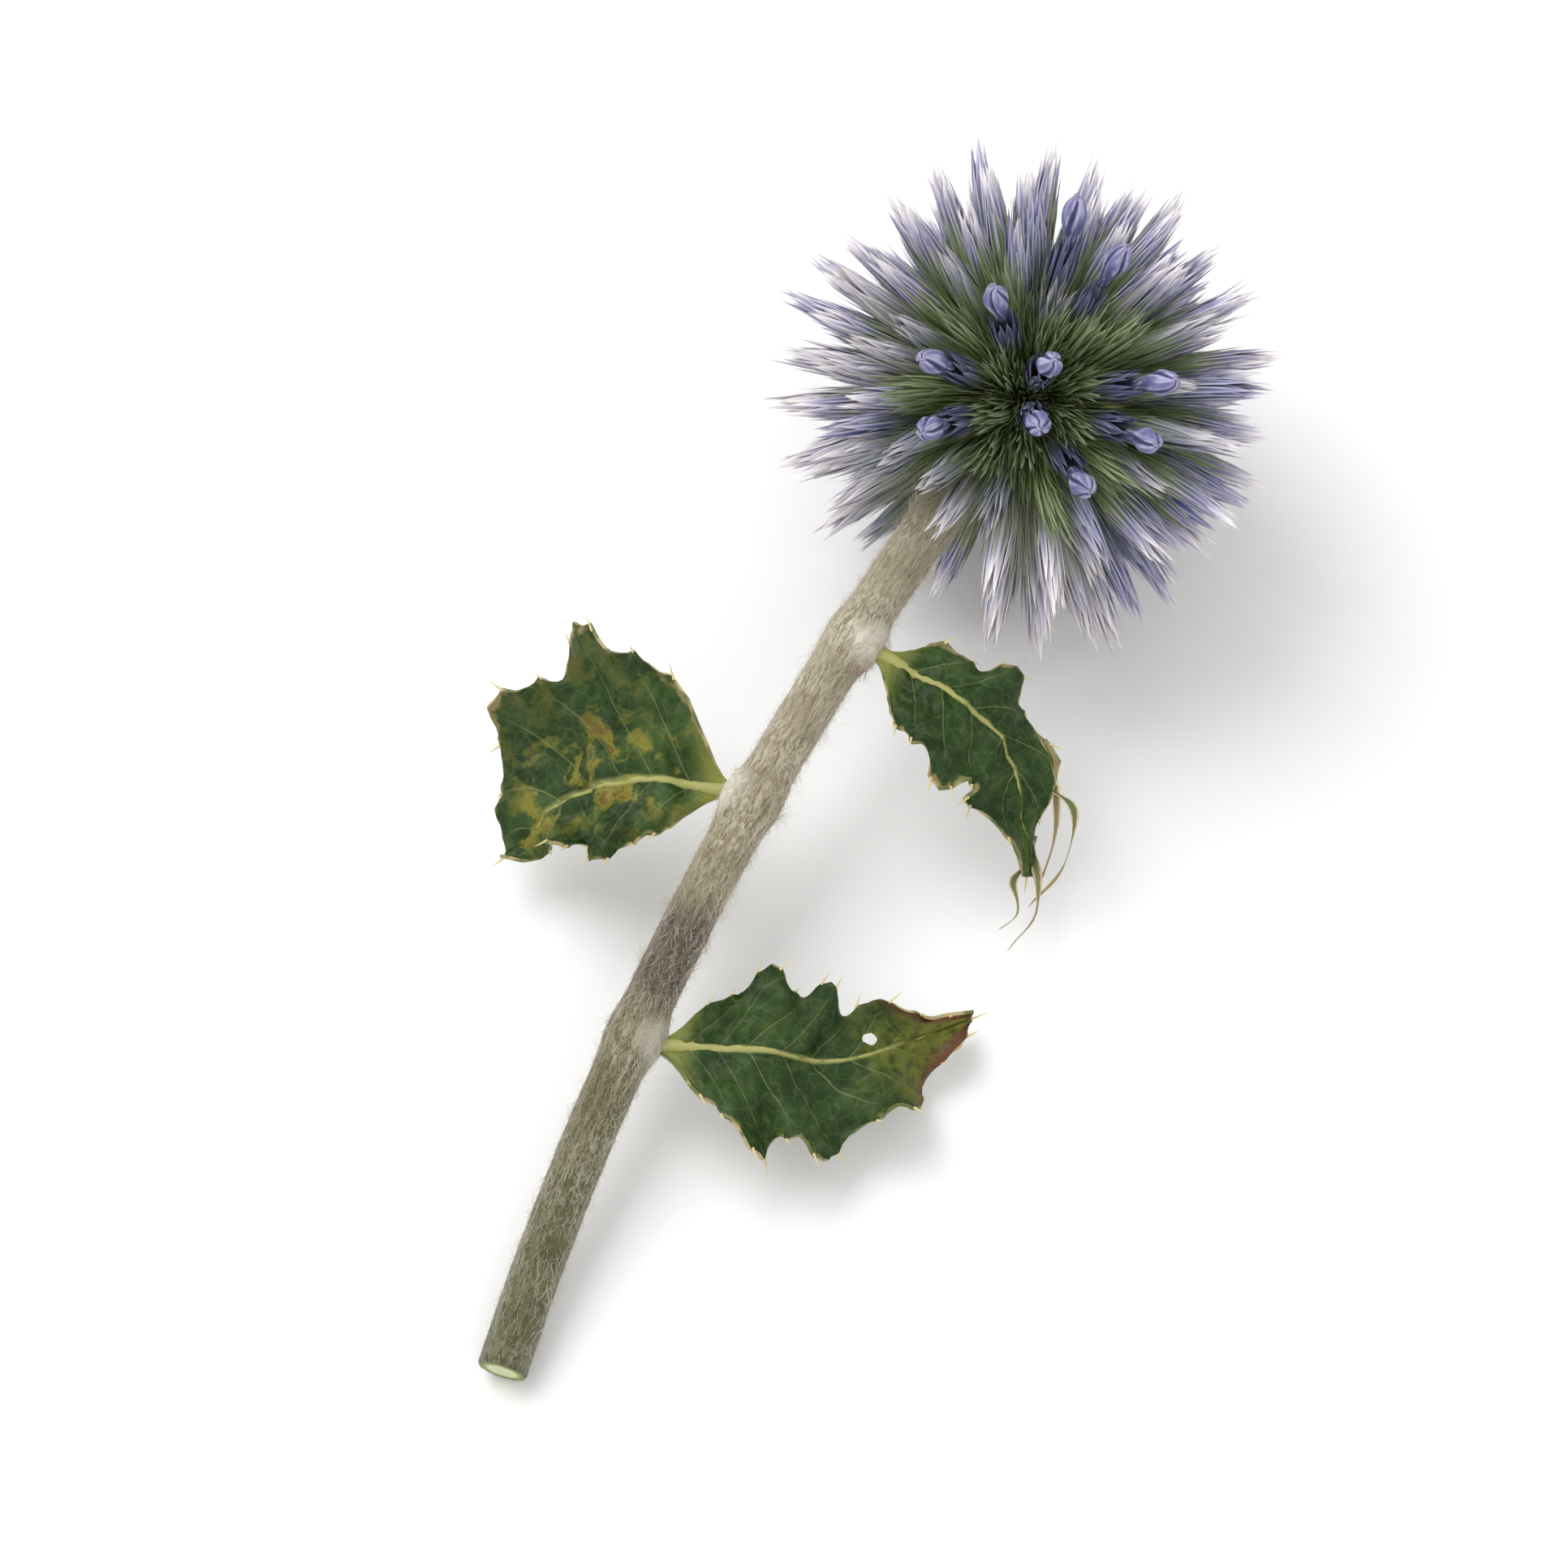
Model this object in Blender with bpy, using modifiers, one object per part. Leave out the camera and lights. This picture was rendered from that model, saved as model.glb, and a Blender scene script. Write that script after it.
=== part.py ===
# Globe thistle flower head, as picked: a ball of bristly florets on a cut, woolly stem with
# three leaves, lying on a table. Shapes are worked out in millimetres and made metres in
# new_object. +Z is up, the table is z = 0, and the stem runs from the head towards -Y.

import math
import random

import bmesh
import bpy
from mathutils import Matrix, Vector

MM = 0.001

# Head
HEAD_RADIUS = 25.0          # centre of the head to the longest tips
HEAD_CENTRE = (3.16, 39.69, 23.4)   # the lowest tips are pressed level with the table
CORE_RADIUS = 6.0           # swollen end of the stem, which carries the florets
SEAT_GAP = 0.3              # between pieces that touch
FLORET_PLACES = 190         # places on a whole ball; those over the stem stay empty
BARE_ANGLE = math.radians(27.5)   # bare cone around the stem
HEAD_ROLL = math.radians(122)     # about the stem, so that florets hide the neck from above
TUFT_COUNT = 45
SHORTEST_FLORET = 0.95      # of the head's radius
LEAN = math.radians(1.0)    # how far a floret leans off its even place
SEED = 11
YOUNGEST_WAY = (0.238, -0.440, 0.866)   # florets that face this way are the youngest
YOUNG_ANGLES = (math.radians(60), math.radians(18))   # from it: full grown, youngest
YOUNG_SHORTER = 0.2         # how much shorter the youngest are
GOLDEN_ANGLE = math.pi * (3.0 - math.sqrt(5.0))

# A floret: distance from the head's centre and half width, as shares of each
FLORET_SIDES = 5
FLORET_HALF_WIDTH = 1.55
FLORET_PROFILE = ((0.0, 0.3), (0.45, 1.0), (0.75, 0.75), (1.0, 0.05))
TIP_RADIUS = FLORET_HALF_WIDTH * FLORET_PROFILE[-1][1]
LINK_RADIUS = 0.4           # short link between the feet of a tuft's florets
LINK_HEIGHT = 0.95          # of the link's axis above the core

# Buds: heading around +Z from +X and height above the level, in degrees
BUD_HEADINGS = (
    (-51, 66), (-59, 52), (-112, 58), (-112, 79), (-6, 48),
    (46, 67), (-21, 38), (-98, 43), (89, 66), (-46, 34),
)
BUD_SEAT = 17.6             # tip of the shortened floret under a bud
BUD_LENGTH = 5.8
BUD_HALF_WIDTH = 1.4
BUD_SIDES = 8
BUD_PROFILE = ((0.0, 0.5), (0.3, 0.65), (0.6, 0.95), (0.85, 0.85), (1.0, 0.25))

# Stem: length from the head's centre, and heading in plan from -Y towards -X
STEM_LENGTH = 106.0
STEM_RADIUS = 2.3
NECK_RADIUS = 2.0
NECK_END = 11.0
STEM_HEADING_START = math.radians(10.0)
STEM_HEADING_END = math.radians(-11.0)
STEM_STEP = 3.0
STEM_SIDES_RESOLUTION = 3
CORE_ANGLES = (4, 25, 45, 65, 90, 115, 135, 152, 163)   # of the core's rings, from its top
NODE_SWELL = 0.35           # where a leaf grows
NODE_REACH = 4.0

# Leaves: distance along the stem, the side of it, the midrib's points from its foot, the way
# the blade's upper side faces at foot and tip, its half width towards the head and away from
# it, how the edges curl up, how wavy they are and the number of lobes
LEAF_THICKNESS = 0.6
LEAF_CELLS = (17, 5)
LEAF_SEAT_GAP = 0.45        # the foot's corners lie nearer to the round stem than its middle
LEAF_START = 0.06           # of the blade's oval outline, where the foot cuts it off
LOBE_DEPTH = 0.16           # of the blade's half width
LOBE_SWEEP = 0.3            # how far the lobes lean towards the tip, of their reach
STALK_WIDTH = 0.16          # at the foot, of the blade's half width there
STALK_LENGTH = 0.3          # of the blade's length
LEAF_STEP = 0.02            # of the blade's length, to find the midrib's direction
CURL_SHARE = 0.36
WAVE_START = 0.6            # of the ripple along the blade, in radians
LEAVES = {
    "leaf_upper": {
        "at": 28.5, "side": 1,
        "midrib": ((0, 0, 0), (8, -1, 0.5), (15, -2, -4), (20, -8, -13)),
        "faces": ((-0.2, -0.2, 1.0), (0.7, 0.0, 0.8)),
        "half_widths": (5.0, 8.0), "curl": 0.2, "wave": 1.0, "lobes": 3.5,
    },
    "leaf_middle": {
        "at": 47.0, "side": -1,
        "midrib": ((0, 0, 0), (-7, -3, 0.5), (-13, -6, -3), (-17, -12, -8)),
        "faces": ((0.2, -0.4, 1.0), (-0.5, -0.3, 1.0)),
        "half_widths": (13.0, 7.5), "curl": 0.3, "wave": 1.4, "lobes": 3.5,
    },
    "leaf_lower": {
        "at": 72.0, "side": 1,
        "midrib": ((0, 0, 0), (7, 3, 1), (15, 8, -2), (22, 19, -6)),
        "faces": ((-0.1, -0.3, 1.0), (0.2, -0.3, 1.0)),
        "half_widths": (7.0, 9.5), "curl": 0.15, "wave": 1.2, "lobes": 4.5,
    },
}

COLOURS = {                 # base colour, roughness
    "floret": ((0.34, 0.38, 0.62), 0.75),
    "bud": ((0.42, 0.42, 0.85), 0.6),
    "stem": ((0.52, 0.48, 0.38), 0.95),
    "leaf": ((0.06, 0.14, 0.04), 0.65),
}


def clear_scene():
    for item in list(bpy.data.objects):
        bpy.data.objects.remove(item, do_unlink=True)


def new_collection(name):
    collection = bpy.data.collections.new(name)
    bpy.context.scene.collection.children.link(collection)
    return collection


def new_material(name, colour, roughness):
    material = bpy.data.materials.new(name)
    material.use_nodes = True
    shader = material.node_tree.nodes["Principled BSDF"]
    shader.inputs["Base Color"].default_value = (*colour, 1.0)
    shader.inputs["Roughness"].default_value = roughness
    shader.inputs["Metallic"].default_value = 0.0
    return material


def new_object(name, mesh, collection, kind):
    """An object in metres from a mesh in millimetres, with a material of its own."""
    mesh.transform(Matrix.Scale(MM, 4))
    item = bpy.data.objects.new(name, mesh)
    collection.objects.link(item)
    colour, roughness = COLOURS[kind]
    mesh.materials.clear()
    mesh.materials.append(new_material(name, colour, roughness))
    return item


def shade_smooth(mesh, angle):
    mesh.shade_smooth()
    mesh.set_sharp_from_angle(angle=math.radians(angle))


# ---- Places of the florets -------------------------------------------------------------

def stem_heading(distance):
    share = min(max(distance / STEM_LENGTH, 0.0), 1.0)
    return STEM_HEADING_START + (STEM_HEADING_END - STEM_HEADING_START) * share


def stem_path():
    """Points of the stem's axis, from the head's centre to the cut end, which meets the table."""
    place = Vector(HEAD_CENTRE)
    slope = math.asin((place.z - STEM_RADIUS) / STEM_LENGTH)
    slope = math.asin((place.z - STEM_RADIUS * math.cos(slope)) / STEM_LENGTH)
    points = []
    steps = round(STEM_LENGTH / STEM_STEP)
    step = STEM_LENGTH / steps
    for index in range(steps + 1):
        points.append(place.copy())
        heading = stem_heading((index + 0.5) * step)
        way = Vector((-math.sin(heading), -math.cos(heading), 0.0)) * math.cos(slope)
        way.z = -math.sin(slope)
        place += way * step
    return points


def head_axis():
    """Unit vector from the head's centre to the top of the head, away from the stem."""
    path = stem_path()
    return (path[0] - path[2]).normalized()


def spiral_way(index, count, lowest=-1.0):
    """Direction of one of count even places between the head's top and a lowest height."""
    height = 1.0 - (1.0 - lowest) * (index + 0.5) / count
    ring = math.sqrt(1.0 - height * height)
    return Vector((ring * math.cos(GOLDEN_ANGLE * index), ring * math.sin(GOLDEN_ANGLE * index), height))


def head_turn():
    """Rotation that takes +Z to the head's axis."""
    return head_axis().to_track_quat("Z", "Y").to_matrix() @ Matrix.Rotation(HEAD_ROLL, 3, "Z")


def floret_places():
    """Direction and length of each floret, on an even spiral that is slightly disturbed."""
    rng = random.Random(SEED)
    turn = head_turn()
    places = []
    for index in range(FLORET_PLACES):
        way = spiral_way(index, FLORET_PLACES)
        lean = Vector([rng.uniform(-1, 1) for _ in range(3)]) * math.tan(LEAN)
        length = rng.uniform(SHORTEST_FLORET, 1.0) * HEAD_RADIUS
        if way.z > -math.cos(BARE_ANGLE):
            places.append(((turn @ (way + lean)).normalized(), length))
    return places


def youth(way):
    """1 for the youngest florets, 0 for those full grown."""
    grown, young = YOUNG_ANGLES
    share = min(max((grown - way.angle(Vector(YOUNGEST_WAY))) / (grown - young), 0.0), 1.0)
    return share * share * (3.0 - 2.0 * share)


def reach_of(way, length):
    """How far a floret reaches: the lowest ones are pressed level with the table."""
    level = HEAD_CENTRE[2] - TIP_RADIUS * math.sqrt(1.0 - way.z ** 2)
    if -way.z * HEAD_RADIUS > level:
        return level / -way.z
    return length * (1.0 - YOUNG_SHORTER * youth(way))


def tufts_of(places):
    """Groups of neighbouring florets, as lists of indices."""
    turn = head_turn()
    lowest = -math.cos(BARE_ANGLE)
    centres = [turn @ spiral_way(index, TUFT_COUNT, lowest) for index in range(TUFT_COUNT)]
    groups = [[] for _ in centres]
    for index, (way, _) in enumerate(places):
        nearest = max(range(TUFT_COUNT), key=lambda number: centres[number].dot(way))
        groups[nearest].append(index)
    return groups


def links_of(group, places):
    """The shortest set of links that joins a tuft's florets."""
    joined = [group[0]]
    waiting = list(group[1:])
    links = []
    while waiting:
        pairs = [(places[a][0].dot(places[b][0]), a, b) for a in joined for b in waiting]
        _, here, there = max(pairs)
        links.append((here, there))
        joined.append(there)
        waiting.remove(there)
    return links


# ---- Florets and buds ------------------------------------------------------------------

def turned_mesh(profile, half_width, start, end, sides):
    """A solid of revolution along +Z from start to end, made by a Screw modifier."""
    mesh = bpy.data.meshes.new("profile")
    form = bmesh.new()
    ring = [form.verts.new((half_width * wide, 0.0, start + (end - start) * share))
            for share, wide in reversed(profile)]
    ring.insert(0, form.verts.new((0.0, 0.0, end)))
    ring.append(form.verts.new((0.0, 0.0, start)))
    for upper, lower in zip(ring, ring[1:]):
        form.edges.new((upper, lower))
    form.to_mesh(mesh)
    form.free()
    item = bpy.data.objects.new("profile", mesh)
    bpy.context.scene.collection.objects.link(item)
    screw = item.modifiers.new("turn", "SCREW")
    screw.steps = sides
    screw.render_steps = sides
    screw.use_merge_vertices = True
    screw.merge_threshold = 0.0001
    screw.use_normal_calculate = True
    return settled(item)


def settled(item):
    """The mesh of an object with its modifiers done, the object itself removed."""
    graph = bpy.context.evaluated_depsgraph_get()
    graph.update()
    mesh = bpy.data.meshes.new_from_object(item.evaluated_get(graph))
    bpy.data.objects.remove(item, do_unlink=True)
    form = bmesh.new()
    form.from_mesh(mesh)
    bmesh.ops.remove_doubles(form, verts=form.verts, dist=0.0001)
    bmesh.ops.recalc_face_normals(form, faces=form.faces)
    form.to_mesh(mesh)
    form.free()
    return mesh


def aimed(way, roll=0.0):
    """Placement that turns +Z along way, from the head's centre."""
    turn = way.to_track_quat("Z", "Y").to_matrix().to_4x4()
    return Matrix.Translation(HEAD_CENTRE) @ turn @ Matrix.Rotation(roll, 4, "Z")


def floret_form(way, tip):
    mesh = turned_mesh(FLORET_PROFILE, FLORET_HALF_WIDTH, CORE_RADIUS + SEAT_GAP, tip, FLORET_SIDES)
    mesh.transform(aimed(way))
    return mesh


def link_form(way_a, way_b):
    distance = CORE_RADIUS + LINK_HEIGHT
    start = Vector(HEAD_CENTRE) + way_a * distance
    end = Vector(HEAD_CENTRE) + way_b * distance
    run = end - start
    form = bmesh.new()
    bmesh.ops.create_cone(form, cap_ends=True, segments=5, radius1=LINK_RADIUS,
                          radius2=LINK_RADIUS, depth=run.length)
    place = Matrix.Translation((start + end) / 2) @ run.to_track_quat("Z", "Y").to_matrix().to_4x4()
    bmesh.ops.transform(form, matrix=place, verts=form.verts)
    mesh = bpy.data.meshes.new("link")
    form.to_mesh(mesh)
    form.free()
    return mesh


def add_tuft(name, group, links, places, seats, parts, cutters):
    """One tuft: its florets, joined near their feet by short links."""
    meshes = [floret_form(places[index][0], seats[index]) for index in group]
    meshes += [link_form(places[a][0], places[b][0]) for a, b in links]
    tuft = new_object(name, meshes[0], parts, "floret")
    if len(meshes) > 1:
        rest = bmesh.new()
        for mesh in meshes[1:]:
            rest.from_mesh(mesh)
        joined = bpy.data.meshes.new(name + "_rest")
        rest.to_mesh(joined)
        rest.free()
        cutter = new_object(name + "_rest", joined, cutters, "floret")
        cutter.hide_render = True
        cutter.display_type = "WIRE"
        union = tuft.modifiers.new("join", "BOOLEAN")
        union.operation = "UNION"
        union.solver = "EXACT"
        union.use_self = True
        union.object = cutter
    return tuft


def nearest_place(way, places, taken):
    free = [index for index in range(len(places)) if index not in taken]
    return max(free, key=lambda index: places[index][0].dot(way))


def bud_places(places):
    """The florets that carry a bud."""
    chosen = []
    for heading, height in BUD_HEADINGS:
        turn = math.radians(heading)
        rise = math.radians(height)
        way = Vector((math.cos(rise) * math.cos(turn), math.cos(rise) * math.sin(turn),
                      math.sin(rise)))
        chosen.append(nearest_place(way, places, chosen))
    return chosen


def add_bud(name, way, parts):
    start = BUD_SEAT + SEAT_GAP
    mesh = turned_mesh(BUD_PROFILE, BUD_HALF_WIDTH, start, start + BUD_LENGTH, BUD_SIDES)
    mesh.transform(aimed(way))
    shade_smooth(mesh, 40)
    return new_object(name, mesh, parts, "bud")


# ---- Stem ------------------------------------------------------------------------------

def stem_radius(distance):
    """Radius of the stem at a distance from the head's centre."""
    if abs(distance) < CORE_RADIUS:
        core = math.sqrt(CORE_RADIUS ** 2 - distance ** 2)
    else:
        core = 0.0
    if distance < 0:
        return core
    neck = min(max((distance - CORE_RADIUS) / (NECK_END - CORE_RADIUS), 0.0), 1.0)
    radius = NECK_RADIUS + (STEM_RADIUS - NECK_RADIUS) * neck
    for leaf in LEAVES.values():
        gap = abs(distance - leaf["at"]) / NODE_REACH
        if gap < 1.0:
            radius += NODE_SWELL * (0.5 + 0.5 * math.cos(math.pi * gap))
    return max(core, radius)


def stem_stations():
    """Distances along the stem where its outline is given, from the core's top."""
    ball = [-CORE_RADIUS * math.cos(math.radians(angle)) for angle in CORE_ANGLES]
    neck = (CORE_RADIUS + NECK_END) / 2
    count = round((STEM_LENGTH - NECK_END) / STEM_STEP)
    shaft = [NECK_END + (STEM_LENGTH - NECK_END) * index / count for index in range(count + 1)]
    return ball + [neck] + shaft


def stem_point(path, distance):
    """A point of the stem's axis at a distance from the head's centre."""
    step = STEM_LENGTH / (len(path) - 1)
    if distance <= 0:
        return path[0] + (path[0] - path[1]) / step * -distance
    index = min(int(distance / step), len(path) - 2)
    return path[index].lerp(path[index + 1], distance / step - index)


def add_stem(path, parts):
    stations = stem_stations()
    curve = bpy.data.curves.new("stem", "CURVE")
    curve.dimensions = "3D"
    curve.bevel_depth = 1.0
    curve.bevel_resolution = STEM_SIDES_RESOLUTION
    curve.use_fill_caps = True
    spline = curve.splines.new("POLY")
    spline.points.add(len(stations) - 1)
    for point, distance in zip(spline.points, stations):
        point.co = (*stem_point(path, distance), 1.0)
        point.radius = stem_radius(distance)
    item = bpy.data.objects.new("stem_axis", curve)
    bpy.context.scene.collection.objects.link(item)
    mesh = settled(item)
    bpy.data.curves.remove(curve)
    shade_smooth(mesh, 50)
    return new_object("stem", mesh, parts, "stem")


# ---- Leaves ----------------------------------------------------------------------------

def smooth_point(points, share):
    """A point of the smooth curve through four points, at a share from 0 to 1."""
    place = share * (len(points) - 1)
    index = min(int(place), len(points) - 2)
    local = place - index
    here, there = points[index], points[index + 1]
    before = points[index - 1] if index else here * 2 - there
    after = points[index + 2] if index + 2 < len(points) else there * 2 - here
    bend = (before * -1 + here * 3 - there * 3 + after) * local ** 3
    sweep = (before * 2 - here * 5 + there * 4 - after) * local ** 2
    return (bend + sweep + (there - before) * local + here * 2) * 0.5


def leaf_width(share, half_width, lobes):
    """Half width of one side of the blade at a share of its length, with its lobes."""
    outline = math.sin(math.pi * (1.0 - (1.0 - LEAF_START) * (1.0 - share)) ** 0.8) ** 0.75
    scallop = 1.0 + LOBE_DEPTH * (1.0 - 2.0 * abs(math.cos(math.pi * lobes * share)))
    stalk = min(1.0, STALK_WIDTH + share / STALK_LENGTH)
    return max(half_width * outline * scallop * stalk, LEAF_THICKNESS)


def leaf_point(leaf, foot, share, across):
    """A point of the blade's middle surface: across runs from -1 to 1."""
    points = [foot + Vector(point) for point in leaf["midrib"]]
    here = smooth_point(points, share)
    before = smooth_point(points, max(share - LEAF_STEP, 0.0))
    along = (smooth_point(points, min(share + LEAF_STEP, 1.0)) - before).normalized()
    up = Vector(leaf["faces"][0]).lerp(Vector(leaf["faces"][1]), share)
    side = along.cross(up).normalized()
    up = side.cross(along)
    towards_head = across * leaf["side"] < 0
    half_width = leaf["half_widths"][0 if towards_head else 1]
    width = leaf_width(share, half_width, leaf["lobes"]) * across
    lift = leaf["curl"] * abs(width) ** 1.5 * CURL_SHARE
    ripple = math.sin(2 * math.pi * leaf["lobes"] * share + WAVE_START)
    ripple *= leaf["wave"] * across * abs(across) * min(1.0, 3.0 * share)
    sweep = LOBE_SWEEP * abs(width) * (1.0 - share)
    place = here + side * width + along * sweep + up * (lift + ripple)
    place.z = max(place.z, LEAF_THICKNESS / 2)
    return place


def add_leaf(name, leaf, path, parts):
    axis = stem_point(path, leaf["at"])
    ahead = stem_point(path, leaf["at"] + 1.0) - axis
    outward = Vector((-ahead.y, ahead.x, 0.0)).normalized() * leaf["side"]
    if outward.x * leaf["side"] < 0:
        outward.negate()
    seat = stem_radius(leaf["at"]) + LEAF_SEAT_GAP
    foot = axis + outward * seat
    form = bmesh.new()
    columns, rows = LEAF_CELLS
    bmesh.ops.create_grid(form, x_segments=columns, y_segments=rows, size=1.0)
    for vert in form.verts:
        vert.co = leaf_point(leaf, foot, (vert.co.x + 1.0) / 2.0, vert.co.y)
    mesh = bpy.data.meshes.new(name)
    form.to_mesh(mesh)
    form.free()
    blade = new_object(name, mesh, parts, "leaf")
    shade_smooth(mesh, 60)
    thickness = blade.modifiers.new("thickness", "SOLIDIFY")
    thickness.thickness = LEAF_THICKNESS * MM
    thickness.offset = 0.0
    return blade


def main():
    clear_scene()
    parts = new_collection("globe_thistle")
    cutters = new_collection("cutters")
    path = stem_path()
    add_stem(path, parts)
    for name, leaf in LEAVES.items():
        add_leaf(name, leaf, path, parts)
    places = floret_places()
    budded = bud_places(places)
    seats = [reach_of(way, length) for way, length in places]
    for number, index in enumerate(budded, start=1):
        seats[index] = BUD_SEAT
        add_bud(f"bud_{number:02d}", places[index][0], parts)
    for number, group in enumerate(tufts_of(places), start=1):
        links = links_of(group, places)
        add_tuft(f"floret_tuft_{number:02d}", group, links, places, seats, parts, cutters)


main()
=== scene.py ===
import math
import random

import bpy
import numpy as np
from mathutils import Matrix, Vector, noise


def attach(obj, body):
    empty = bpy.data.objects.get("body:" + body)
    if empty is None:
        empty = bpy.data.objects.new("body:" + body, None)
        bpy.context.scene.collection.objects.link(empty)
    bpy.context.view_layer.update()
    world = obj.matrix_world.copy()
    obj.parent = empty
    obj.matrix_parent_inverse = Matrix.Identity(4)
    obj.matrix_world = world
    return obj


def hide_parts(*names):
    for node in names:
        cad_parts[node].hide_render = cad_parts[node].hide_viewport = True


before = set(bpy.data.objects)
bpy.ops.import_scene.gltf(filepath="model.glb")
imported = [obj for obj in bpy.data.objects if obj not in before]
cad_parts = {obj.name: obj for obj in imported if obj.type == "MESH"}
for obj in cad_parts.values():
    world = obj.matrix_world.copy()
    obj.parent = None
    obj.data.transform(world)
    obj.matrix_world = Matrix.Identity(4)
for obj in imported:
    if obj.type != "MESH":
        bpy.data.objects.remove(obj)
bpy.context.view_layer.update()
mm = 0.001
lowest = 0.05 * mm   # nothing comes nearer to the table
print("frame loaded")


def clamp(value):
    return np.clip(value, 0.0, 1.0)


def ease(share):
    # 0 to 1, starting and ending softly
    return share * share * (3.0 - 2.0 * share)


def selectOnly(*pieces):
    if bpy.context.mode != "OBJECT":
        bpy.ops.object.mode_set(mode="OBJECT")
    bpy.ops.object.select_all(action="DESELECT")
    for piece in pieces:
        piece.select_set(True)
    if pieces:
        bpy.context.view_layer.objects.active = pieces[0]


def copyPiece(piece, name):
    twin = piece.copy()
    twin.data = piece.data.copy()
    twin.name = twin.data.name = name
    bpy.context.scene.collection.objects.link(twin)
    return twin


def joinPieces(pieces, name):
    selectOnly(*pieces)
    bpy.ops.object.join()
    whole = pieces[0]
    whole.name = whole.data.name = name
    selectOnly()
    return whole


def removePieces(pieces):
    for piece in pieces:
        bpy.data.objects.remove(piece, do_unlink=True)


def places(piece):
    flat = np.empty(len(piece.data.vertices) * 3, np.float32)
    piece.data.vertices.foreach_get("co", flat)
    return flat.reshape(-1, 3)


def putPlaces(piece, spots):
    piece.data.vertices.foreach_set("co", np.asarray(spots, np.float32).ravel())
    piece.data.update()


def stand(piece, spots, way, foot, roll=0.0):
    # turned from upright to its way, its foot put in place
    turn = way.to_track_quat("Z", "Y").to_matrix() @ Matrix.Rotation(roll, 3, "Z")
    world = spots @ np.array(turn).T + np.array(foot)
    world[:, 2] = np.maximum(world[:, 2], lowest)
    putPlaces(piece, world)


def mapPiece(piece, name, spotOf):
    # a UV map that gives each vertex one spot
    layer = piece.data.uv_layers.new(name=name)
    for loop in piece.data.loops:
        layer.data[loop.index].uv = spotOf(loop.vertex_index)


def turnsOf(spots):
    return np.arctan2(spots[:, 1], spots[:, 0]) / math.tau + 0.5


def mapRound(piece, name, turns, spotOf):
    # a UV map that goes once round; a face that spans where the turn wraps from 1 back to 0 has
    # corners that run on past 1
    layer = piece.data.uv_layers.new(name=name)
    for polygon in piece.data.polygons:
        around = [float(turns[vertex]) for vertex in polygon.vertices]
        overSeam = max(around) - min(around) > 0.5
        for loopIndex, vertex, turn in zip(polygon.loop_indices, polygon.vertices, around):
            turn += 1.0 if overSeam and turn < 0.5 else 0.0
            layer.data[loopIndex].uv = spotOf(polygon, vertex, turn)


def drawOut(name, sides, rings, width=mm, pointed=True):
    # a rod drawn out ring by ring: height, half width and, where it is flat, half thickness
    selectOnly()
    bpy.ops.mesh.primitive_circle_add(vertices=sides, radius=1.0, fill_type="NGON")
    rod = bpy.context.object
    rod.name = name
    bpy.ops.object.mode_set(mode="EDIT")
    bpy.ops.mesh.select_all(action="SELECT")
    lastHeight, lastWide, lastThick = 0.0, 1.0, 1.0
    for number, ring in enumerate(rings):
        height, wide, thick = ring[0], ring[1] * width, ring[-1] * width
        rise = (0.0, 0.0, height - lastHeight)
        if number:
            bpy.ops.mesh.extrude_region_move(TRANSFORM_OT_translate={"value": rise})
        else:
            bpy.ops.transform.translate(value=rise)
        bpy.ops.transform.resize(value=(wide / lastWide, thick / lastThick, 1.0),
                                 center_override=(0.0, 0.0, height))
        lastHeight, lastWide, lastThick = height, wide, thick
    if pointed:
        bpy.ops.mesh.merge(type="CENTER")
    bpy.ops.mesh.select_all(action="SELECT")
    bpy.ops.mesh.normals_make_consistent(inside=False)
    selectOnly()
    return rod


def finishPiece(piece, slot, smoothAngle, *nodes):
    selectOnly(piece)
    if smoothAngle is None:
        bpy.ops.object.shade_smooth()
    else:
        bpy.ops.object.shade_smooth_by_angle(angle=math.radians(smoothAngle))
    selectOnly()
    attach(piece, "root")
    if nodes:
        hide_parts(*nodes)


def tone(*screen):
    # a colour as a screen shows it, 0 to 255, in the renderer's own light values
    return tuple(value / 255 / 12.92 if value <= 10 else ((value / 255 + 0.055) / 1.055) ** 2.4
                 for value in screen)


class Flow:
    # a socket that takes part in sums, with numbers on either side
    def __init__(self, shade, socket):
        self.shade = shade
        self.socket = socket

    def math(self, operation, *others):
        return self.shade.add("Math", {"operation": operation}, [self, *others])

    def __add__(self, other):
        return self.math("ADD", other)

    __radd__ = __add__

    def __sub__(self, other):
        return self.math("SUBTRACT", other)

    def __rsub__(self, other):
        return self.shade.add("Math", {"operation": "SUBTRACT"}, [other, self])

    def __mul__(self, other):
        return self.math("MULTIPLY", other)

    __rmul__ = __mul__

    def __truediv__(self, other):
        return self.math("DIVIDE", other)

    def above(self, edge, soft):
        # 0 up to edge - soft, 1 from edge + soft
        return self.shade.add("MapRange", {"interpolation_type": "SMOOTHSTEP"},
                              {"Value": self, "From Min": edge - soft, "From Max": edge + soft})

    def below(self, edge, soft):
        return 1.0 - self.above(edge, soft)

    def fromMiddle(self, width=1.0):
        # 0 at one half, 1 at both edges of a strip this wide
        return (self - 0.5).math("ABSOLUTE") * (2.0 / width)


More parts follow.
